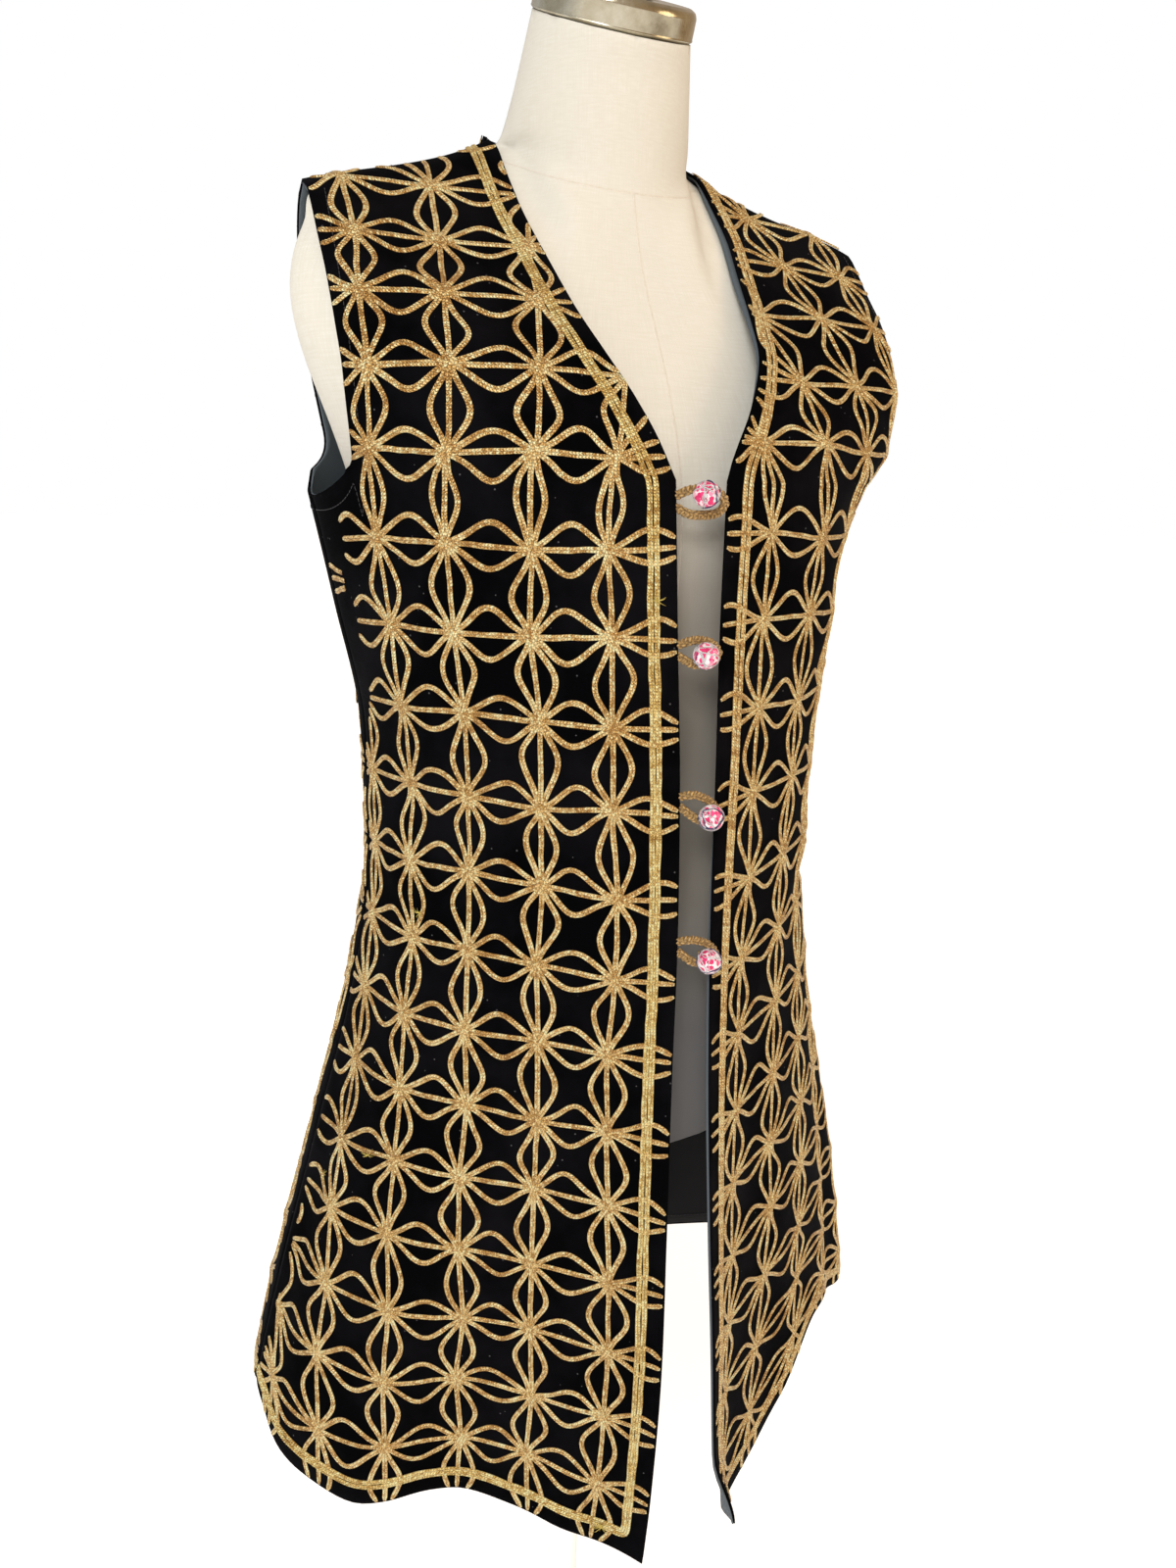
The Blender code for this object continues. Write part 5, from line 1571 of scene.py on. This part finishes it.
def topstitch(cloth, share, level, depth=0.0, outward=1.0, radius=0.00026):
    share, level = even_path(cloth, share, level, STITCH_STEP / 4)
    line, normals = on_cloth(cloth, share, level)
    line = line - normals * depth
    stitches = []
    for k in range(2, len(line) - 4, 4):
        part = line[k : k + 4] + outward * normals[k : k + 4] * STITCH_DIPS
        stitches.append(tube(part, radius, 5))
    return stitches


armhole_stitches = []
for name in ("right", "left"):
    path = ARMHOLE["front"][4:-1]
    moved = step_inward(CLOTH[name], path[:, 0], path[:, 1], FACING_WIDTH, 1 if name == "right" else -1)
    armhole_stitches += topstitch(CLOTH[name], *moved)
for hand in (-1, 1):
    path = ARMHOLE["back"][4:-1]
    moved = step_inward(CLOTH["back"], hand * path[:, 0], path[:, 1], FACING_WIDTH, hand)
    armhole_stitches += topstitch(CLOTH["back"], *moved)
facing_stitches = add_tubes("armhole_topstitching", armhole_stitches, dark_thread)
inside = VELVET + SEAM_GAP + LINING
hem_stitches = topstitch(
    CLOTH["back"], np.linspace(-0.98, 0.98, 400), np.full(400, 2 - 0.0090 / SKIRT_DROP), inside, -1.0
)
hem_stitching = add_tubes("lining_hem_stitching", hem_stitches, dark_thread)
print("stitches:", len(armhole_stitches) + len(hem_stitches))

# %% [markdown]
# ## Frayed ends
#
# Where a thread was cut or a stitch has worn through, a few yellow fibres stand up. Each tuft
# is a bunch of thin tapering tubes that leave the cloth and curl over.

# %% Frayed ends
# Each tuft: panel, share, level, and how far its fibres reach
TUFTS = (
    ("right", 0.05, 1.10, 0.0050),
    ("right", 0.70, 1.40, 0.0045),
    ("right", 0.90, 1.70, 0.0045),
    ("right", 0.75, 1.65, 0.0055),
    ("right", 0.10, 1.98, 0.0080),
    ("left", 0.35, 1.50, 0.0035),
    ("back", -0.40, 1.25, 0.0040),
    ("back", 0.35, 1.60, 0.0045),
)
rng = np.random.default_rng(31)
fibres = []
for name, share, level, reach in TUFTS:
    place, normal = on_cloth(CLOTH[name], np.array([share]), np.array([level]))
    place, normal = place[0], normal[0]
    across = unit(np.cross(normal, (0, 0, 1.0)))
    down = np.cross(across, normal)
    for _ in range(9):
        heading = rng.uniform(0, 2 * math.pi)
        flat = across * math.cos(heading) + down * math.sin(heading)
        long = reach * rng.uniform(0.5, 1.15)
        t = np.linspace(0, 1, 9)[:, None]
        curl = rng.uniform(0.1, 0.5)
        path = place + normal * (0.0006 + long * 0.45 * np.sin(2.6 * t)) + flat * long * t
        path = path + np.cross(normal, flat) * long * curl * t**2 + down * long * 0.15 * t**2
        fibres.append(tube(path, 0.00026 * (1 - 0.75 * t[:, 0]), 5))
frayed_ends = add_tubes("frayed_ends", fibres, frayed_thread)

# %% [markdown]
# ## The balls and their netting
#
# The vest closes with ball buttons, each a wad of printed cotton held in a net of white thread
# with a little navy in it. The balls stay in their loops here: a fastened button only turns and
# slides by hand, so it is shown as it rests. The net is a set of small circles on the ball.

# %% Balls and netting
BALL_CORE = 0.0074
NET_RADIUS = 0.00038
NET_RINGS = 9
CLOSURES = (1, 2, 3, 4)


def ring_on_ball(centre, axis, height, radius, wander, rng):
    axis = unit(np.asarray(axis, float))
    first = unit(np.cross(axis, (0.21, 0.35, 0.91)))
    second = np.cross(axis, first)
    t = np.linspace(0, 2 * math.pi, 61)
    slow = wander * np.sin(3 * t + rng.uniform(0, 6))
    quick = 0.5 * wander * np.sin(5 * t + rng.uniform(0, 6))
    lift = height + slow + quick
    lift = np.clip(lift, -0.97, 0.97)
    flat = np.sqrt(1 - lift**2)
    path = axis * lift[:, None] + (first * np.cos(t)[:, None] + second * np.sin(t)[:, None]) * flat[:, None]
    return centre + path * radius


def make_ball(number):
    rng = np.random.default_rng(40 + number)
    low, high = (np.array(corner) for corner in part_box(f"button_{number}"))
    centre = (low + high) / 2
    shape = bmesh.new()
    bmesh.ops.create_icosphere(shape, subdivisions=5, radius=1.0)
    for vertex in shape.verts:
        way = vertex.co.normalized()
        dent = 0.03 * math.sin(5 * way.x + number) * math.sin(6 * way.y)
        dent = dent + 0.02 * math.sin(9 * way.z + 2 * number)
        vertex.co = Vector(centre) + way * BALL_CORE * (1 + dent)
    points = np.array([vertex.co[:] for vertex in shape.verts])
    faces = [[vertex.index for vertex in face.verts] for face in shape.faces]
    shape.free()
    ball = add_piece(f"cotton_ball_{number}", points, faces, ball_cotton)
    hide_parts(f"button_{number}")
    white, navy = [], []
    for k in range(NET_RINGS):
        axis, height = rng.normal(size=3), rng.uniform(-0.62, 0.62)
        path = ring_on_ball(centre, axis, height, BALL_CORE + 0.00022, 0.10, rng)
        made = tube(path, NET_RADIUS * rng.uniform(0.75, 1.15), 6)
        (navy if k % 4 == 3 else white).append(made)
    add_tubes(f"ball_netting_{number}", white, netting_thread)
    add_tubes(f"ball_navy_{number}", navy, navy_thread)
    return centre


ball_places = {number: make_ball(number) for number in CLOSURES}
print("balls at heights", [round(float(place[2]), 3) for place in ball_places.values()])

# %% [markdown]
# ## Braided loops
#
# Each loop is a flat plait of three cords. A plait is easy to write down: every strand swings
# from side to side, and up and down twice as fast, a third of a turn behind its neighbour. The
# plait follows the path that the frame's plain loop has.

# %% Braided loops and stitched shanks
CORD_RADIUS = 0.0027
SHANK_RADIUS = 0.0016
LOOP_HALF_HEIGHT = 0.0072
ROOT_RISE = (0.0000, 0.0015, 0.0070, 0.0060)
LOOP_DROP = (0.0045, 0.0000, 0.0000, 0.0000)
PLAIT_LENGTH = 0.0092
PLAIT_SWING, PLAIT_RISE, STRAND_RADIUS = 0.00170, 0.00078, 0.00112


def loop_places(number):
    low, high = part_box(f"loop_{number}")
    start, turn = low.x, high.x - CORD_RADIUS
    loop_y, sewn_y = low.y + CORD_RADIUS, high.y - CORD_RADIUS
    height, rise = ball_places[number][2], LOOP_HALF_HEIGHT
    upper = [
        (start, sewn_y, 0.0034),
        (start + 0.0022, sewn_y, 0.0038),
        (start + 0.0070, loop_y, 0.92 * rise),
        (0.5 * (start + turn), loop_y, rise),
        (turn - 0.0050, loop_y, 0.82 * rise),
    ]
    lower = [(x, y, -z) for x, y, z in reversed(upper)]
    places = np.array(upper + [(turn, loop_y, 0.0)] + lower)
    to_root = np.clip((turn - places[:, 0]) / (turn - start), 0, 1)
    places[:, 2] += height - LOOP_DROP[number - 1] + ROOT_RISE[number - 1] * to_root**2 * (3 - 2 * to_root)
    return places


def plait(path, swing, rise, period, strands=3):
    """Strand paths of a flat plait that follows this path, flat toward -Y."""
    ahead = unit(np.gradient(path, axis=0))
    up = unit(np.array([0.0, -1.0, 0.0]) - ahead * (ahead @ np.array([0.0, -1.0, 0.0]))[:, None])
    aside = np.cross(ahead, up)
    run = np.concatenate([[0], np.cumsum(np.linalg.norm(np.diff(path, axis=0), axis=1))])
    found = []
    for k in range(strands):
        phase = 2 * math.pi * (run / period + k / strands)
        sideways = aside * (swing * np.sin(phase))[:, None]
        found.append(path + sideways + up * (rise * np.sin(2 * phase))[:, None])
    return found


def make_loop(number):
    rng = np.random.default_rng(60 + number)
    path = rounded_path(loop_places(number), 150)
    strands = plait(path, PLAIT_SWING, PLAIT_RISE, PLAIT_LENGTH)
    strands = [tube(strand, STRAND_RADIUS, 8) for strand in strands]
    for _ in range(7):
        k = rng.integers(10, 140)
        outward = unit(rng.normal(size=3))
        t = np.linspace(0, 1, 6)[:, None]
        hair = path[k] + outward * (0.0014 + 0.0028 * t) + np.cross(outward, (0, 0, 1.0)) * 0.0015 * t**2
        strands.append(tube(hair, 0.00012 * (1 - 0.6 * t[:, 0]), 4))
    loop = add_tubes(f"braided_loop_{number}", strands, cord_thread)
    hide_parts(f"loop_{number}")
    return loop


def make_shank(number):
    low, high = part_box(f"shank_{number}")
    x, y, z = ball_places[number]
    behind = high.y - SHANK_RADIUS
    path = rounded_path(
        [
            (x, y + 0.0078, z),
            (x, 0.5 * (y + 0.0078 + behind), z),
            (x + 0.0006, behind - 0.0008, z),
            (x + 0.0025, behind, z),
            (high.x - 0.0020, behind, z),
            (high.x, behind, z),
        ],
        60,
    )
    strands = [tube(strand, 0.00082, 6) for strand in plait(path, 0.00070, 0.00055, 0.0050, 2)]
    shank = add_tubes(f"stitched_shank_{number}", strands, shank_thread)
    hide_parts(f"shank_{number}")
    return shank


loops = [make_loop(number) for number in CLOSURES]
shanks = [make_shank(number) for number in CLOSURES]

# %% [markdown]
# ## The dress form
#
# The form's cover is stretched linen over a hard shell. The frame's node has its shape in flat
# facets, so a copy of that mesh is joined into quads and subdivided. The seams are narrow double
# ridges laid on the smooth surface, where two pieces of linen are sewn and pressed apart.


# %% The form's smooth body
def smooth_copy(node_name, name, material, levels):
    shape = bmesh.new()
    shape.from_mesh(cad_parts[node_name].data)
    bmesh.ops.remove_doubles(shape, verts=shape.verts, dist=1e-5)
    bmesh.ops.join_triangles(
        shape, faces=shape.faces, angle_face_threshold=3.1, angle_shape_threshold=3.1, cmp_seam=False
    )
    crease = shape.edges.layers.float.new("crease_edge")
    for edge in shape.edges:
        if edge.calc_face_angle(0.0) > math.radians(55):
            edge[crease] = 0.8
    mesh = bpy.data.meshes.new(name)
    shape.to_mesh(mesh)
    shape.free()
    mesh.materials.clear()
    mesh.materials.append(material)
    mesh.shade_smooth()
    piece = bpy.data.objects.new(name, mesh)
    bpy.context.scene.collection.objects.link(piece)
    modifier = piece.modifiers.new("smooth", "SUBSURF")
    modifier.levels = modifier.render_levels = levels
    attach(piece, "root")
    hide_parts(node_name)
    return piece


form_body = smooth_copy("form_torso", "dress_form_body", linen, 2)
bpy.context.view_layer.update()
depsgraph = bpy.context.evaluated_depsgraph_get()
form_tree = BVHTree.FromObject(form_body, depsgraph)
print("form triangles:", sum(len(p.vertices) - 2 for p in form_body.evaluated_get(depsgraph).data.polygons))

# %% Seams of the form
SEAM_PROFILE = np.array([(-1.0, -0.3), (-0.45, 0.8), (0.0, -0.15), (0.45, 0.8), (1.0, -0.3)])
SEAM_HALF_WIDTH, SEAM_HEIGHT = 0.0009, 0.00020
NECK_SEAM_RISE, NECK_SEAM_SLOPE = 0.185, 0.386
CAP_SEAM_X = 0.168


def cast(start, way):
    """Where a ray meets the form, with the normal there; None if it misses."""
    place, normal, _, _ = form_tree.ray_cast(Vector(start), Vector(way).normalized())
    return None if place is None else (place, normal)


def sew_seam(strips, hits):
    hits = [hit for hit in hits if hit is not None]
    line = np.array([hit[0][:] for hit in hits])
    normals = unit(np.array([hit[1][:] for hit in hits]))
    for _ in range(4):
        normals[1:-1] = unit(normals[:-2] + 2 * normals[1:-1] + normals[2:])
    strips.add(line, normals, 0.0, np.full(len(line), SEAM_HALF_WIDTH), SEAM_HEIGHT, SEAM_PROFILE)


form_low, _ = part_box("form_torso")
seams = Strips()
heights = np.linspace(form_low.z + 0.004, CHEST_Z + NECK_SEAM_RISE - 0.018, 260)
sew_seam(seams, [cast((0.0, -0.5, z), (0, 1, 0)) for z in heights])
heights = np.linspace(form_low.z + 0.004, CHEST_Z + 0.205, 260)
sew_seam(seams, [cast((0.0, 0.5, z), (0, -1, 0)) for z in heights])
around = []
for angle in np.linspace(0, 2 * math.pi, 181):
    way = np.array([math.sin(angle), -math.cos(angle), 0.0])
    way[2] = NECK_SEAM_SLOPE * way[1]
    middle = np.array([0.0, 0.016, CHEST_Z + NECK_SEAM_RISE + NECK_SEAM_SLOPE * 0.016])
    around.append(cast(middle + way * 0.3, -way))
sew_seam(seams, around)
for hand in (-1, 1):
    arc = []
    for angle in np.linspace(math.radians(-75), math.radians(255), 120):
        way = np.array([0.0, math.cos(angle), math.sin(angle)])
        middle = np.array([hand * CAP_SEAM_X, 0.010, CHEST_Z + 0.085])
        arc.append(cast(middle + way * 0.3, -way))
    sew_seam(seams, arc)
    heights = np.linspace(form_low.z + 0.004, CHEST_Z + 0.02, 200)
    sew_seam(seams, [cast((hand * 0.5, 0.004, z), (-hand, 0, 0)) for z in heights])
seams.finish("dress_form_seams", seam_thread)

# %% [markdown]
# ## Turned parts
#
# The neck cap, its knob, the pole and the foot are turned on a lathe, so each is a profile spun
# round its own axis. Real edges are never perfectly sharp: the helper cuts every corner of the
# profile into a small arc first, and that arc is what catches the light.


# %% Lathe work
def eased_profile(profile, radius, steps=4):
    """The profile with each corner replaced by a small arc."""
    profile = [np.array(point, float) for point in profile]
    found = [profile[0]]
    for before, corner, after in zip(profile, profile[1:], profile[2:]):
        into, out = corner - before, after - corner
        cut = min(radius, 0.45 * np.linalg.norm(into), 0.45 * np.linalg.norm(out))
        first, last = corner - unit(into) * cut, corner + unit(out) * cut
        for t in np.linspace(0, 1, steps):
            found.append((1 - t) ** 2 * first + 2 * t * (1 - t) * corner + t * t * last)
    found.append(profile[-1])
    return np.array(found)


def lathe(name, profile, matrix, material, node_name, radius=0.0012, steps=96):
    """A solid of revolution: the profile runs from the top of the axis down to its bottom."""
    outline = eased_profile(profile, radius)[1:-1]
    angle = np.linspace(0, 2 * math.pi, steps, endpoint=False)
    ring = np.stack([np.cos(angle), np.sin(angle), np.zeros(steps)], -1)
    points = outline[:, None, :1] * ring[None] + outline[:, None, 1:] * np.array([0.0, 0.0, 1.0])
    points = np.concatenate([points.reshape(-1, 3), [[0, 0, profile[0][1]], [0, 0, profile[-1][1]]]])
    count = len(outline) * steps
    faces = quads(len(outline), steps, 0, wrap=True)[:, ::-1].tolist()
    for k in range(steps):
        j = (k + 1) % steps
        faces.append([count, k, j])
        faces.append([count + 1, count - steps + j, count - steps + k])
    placed = np.array([matrix @ Vector(point) for point in points])
    piece = add_piece(name, placed, faces, material)
    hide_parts(node_name)
    return piece


CAP_TILT = math.radians(23.0)
CAP_HEIGHT, CAP_RADIUS = 0.0165, 0.0506
CAP_SEAT = Vector((0.0, -0.0030, CHEST_Z + 0.2705))
cap_matrix = Matrix.Translation(CAP_SEAT) @ Matrix.Rotation(CAP_TILT, 4, "X")
cap_profile = [
    (0.0, CAP_HEIGHT + 0.0008),
    (0.0260, CAP_HEIGHT + 0.0008),
    (0.0265, CAP_HEIGHT + 0.0015),
    (CAP_RADIUS - 0.0045, CAP_HEIGHT + 0.0015),
    (CAP_RADIUS - 0.0012, CAP_HEIGHT - 0.0002),
    (CAP_RADIUS, CAP_HEIGHT - 0.0030),
    (CAP_RADIUS, 0.0024),
    (CAP_RADIUS + 0.0003, 0.0018),
    (CAP_RADIUS, SEAM_GAP + 0.0008),
    (CAP_RADIUS - 0.0012, SEAM_GAP),
    (0.0, SEAM_GAP),
]
lathe("brass_neck_cap", cap_profile, cap_matrix, brass, "neck_cap", 0.0009, 128)

knob_seat = CAP_HEIGHT + 0.0015 + SEAM_GAP
KNOB = (
    (0.0, 0.0440),
    (0.0080, 0.0420),
    (0.0145, 0.0350),
    (0.0165, 0.0270),
    (0.0145, 0.0190),
    (0.0098, 0.0130),
    (0.0092, 0.0115),
    (0.0100, 0.0105),
    (0.0088, 0.0085),
    (0.0130, 0.0066),
    (0.0210, 0.0050),
    (0.0225, 0.0028),
    (0.0220, 0.0),
    (0.0, 0.0),
)
knob_profile = [(radius, knob_seat + height) for radius, height in KNOB]
lathe("turned_knob", knob_profile, cap_matrix, dark_wood, "cap_knob", 0.0040, 72)

FORM_BOTTOM = CHEST_Z - 0.445
BASE_THICKNESS, BASE_RADIUS, POLE_RADIUS = 0.014, 0.155, 0.0125
pole_top, pole_bottom = FORM_BOTTOM - SEAM_GAP, BASE_THICKNESS + 0.010 + SEAM_GAP
pole_profile = [
    (0.0, pole_top),
    (0.0260, pole_top),
    (0.0260, pole_top - 0.0100),
    (POLE_RADIUS + 0.0010, pole_top - 0.0150),
    (POLE_RADIUS, pole_top - 0.0165),
    (POLE_RADIUS, pole_bottom),
    (0.0, pole_bottom),
]
lathe("steel_pole", pole_profile, Matrix.Identity(4), painted_steel, "pole", 0.0012, 48)
base_profile = [
    (0.0, BASE_THICKNESS + 0.0100),
    (0.0240, BASE_THICKNESS + 0.0100),
    (0.0300, BASE_THICKNESS + 0.0030),
    (BASE_RADIUS - 0.0200, BASE_THICKNESS - 0.0010),
    (BASE_RADIUS - 0.0040, BASE_THICKNESS - 0.0050),
    (BASE_RADIUS, BASE_THICKNESS - 0.0090),
    (BASE_RADIUS, 0.0015),
    (BASE_RADIUS - 0.0015, 0.0),
    (0.0, 0.0),
]
lathe("steel_foot", base_profile, Matrix.Identity(4), painted_steel, "stand_base", 0.0030, 128)

# %% [markdown]

# %% [markdown]
# ## Floor and light
#
# A plain pale floor and a pale sky make a bright, soft studio. The sky is warm on one side, like a
# lit room, but only as light: seen directly it is white. A broad, soft sun comes from the front
# left and models the folds. A small lamp beside it and a weaker, warm one from the right keep the
# shaded side readable.

# %% Studio
floor_mesh = bpy.data.meshes.new("floor")
FLOOR_HALF = 30.0
corners = [(x, y, 0.0) for x, y in ((-1, -1), (1, -1), (1, 1), (-1, 1))]
floor_mesh.from_pydata([(x * FLOOR_HALF, y * FLOOR_HALF, z) for x, y, z in corners], [], [(0, 1, 2, 3)])
floor = bpy.data.objects.new("floor", floor_mesh)
bpy.context.scene.collection.objects.link(floor)
floor_paint, tree, shader = new_finish("pale floor", Roughness=0.8)
mottle = noise(tree, own_place(tree), 1.2)
tree.links.new(blend(tree, mottle, (0.93, 0.93, 0.93), (0.96, 0.96, 0.96)), shader.inputs["Base Color"])
shader.inputs["Emission Color"].default_value = (1.0, 1.0, 1.0, 1.0)
shader.inputs["Emission Strength"].default_value = 0.45
floor_mesh.materials.append(floor_paint)
floor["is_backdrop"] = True

SKY_LIGHT, SKY_SEEN = 0.56, 1.0
world = bpy.data.worlds.new("white studio")
world.use_nodes = True
sky = world.node_tree
seen = add_node(sky, "ShaderNodeLightPath").outputs["Is Camera Ray"]
strength = reckon(sky, "MULTIPLY_ADD", seen, SKY_SEEN - SKY_LIGHT, SKY_LIGHT)
sky.links.new(strength, sky.nodes["Background"].inputs["Strength"])
looking = add_node(sky, "ShaderNodeTexCoord").outputs["Generated"]
toward = add_node(sky, "ShaderNodeSeparateXYZ", None, Vector=looking).outputs
across_sky = reckon(sky, "MULTIPLY_ADD", toward["Y"], -0.25, 0.45)
to_room = reckon(sky, "MULTIPLY_ADD", toward["X"], 0.55, across_sky)
facing_room = reckon(sky, "MAXIMUM", to_room, 0.0)
room = reckon(sky, "MULTIPLY", facing_room, reckon(sky, "SUBTRACT", 1.0, seen), clamp=True)
sky_colour = blend(sky, room, (1.0, 1.0, 1.0), (0.92, 0.62, 0.34))
sky.links.new(sky_colour, sky.nodes["Background"].inputs["Color"])
bpy.context.scene.world = world
bpy.context.scene.view_settings.view_transform = "Standard"

sun = bpy.data.objects.new("high window", bpy.data.lights.new("high window", "SUN"))
bpy.context.scene.collection.objects.link(sun)
sun.data.energy = 1.42
sun.data.angle = math.radians(40)
sun.rotation_mode = "QUATERNION"
sun.rotation_quaternion = Vector((0.60, 0.66, -0.68)).to_track_quat("-Z", "Y")


def add_lamp(name, place, aim, size, power, colour):
    lamp = bpy.data.lights.new(name, "AREA")
    lamp.shape = "DISK"
    lamp.size = size
    lamp.energy = power
    lamp.color = colour
    made = bpy.data.objects.new(name, lamp)
    bpy.context.scene.collection.objects.link(made)
    made.location = place
    made.rotation_mode = "QUATERNION"
    made.rotation_quaternion = (Vector(aim) - Vector(place)).to_track_quat("-Z", "Y")
    return made


VEST_MIDDLE = (0.0, 0.0, 1.05)
add_lamp("key lamp", (-1.5, -2.2, 2.4), VEST_MIDDLE, 0.8, 22.0, (1.0, 0.99, 0.97))
add_lamp("fill lamp", (1.9, -1.5, 1.7), VEST_MIDDLE, 1.2, 15.0, (1.0, 0.78, 0.54))

# %% The visual box
low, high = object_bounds()
print("visual box", [round(v, 4) for v in low], [round(v, 4) for v in high])
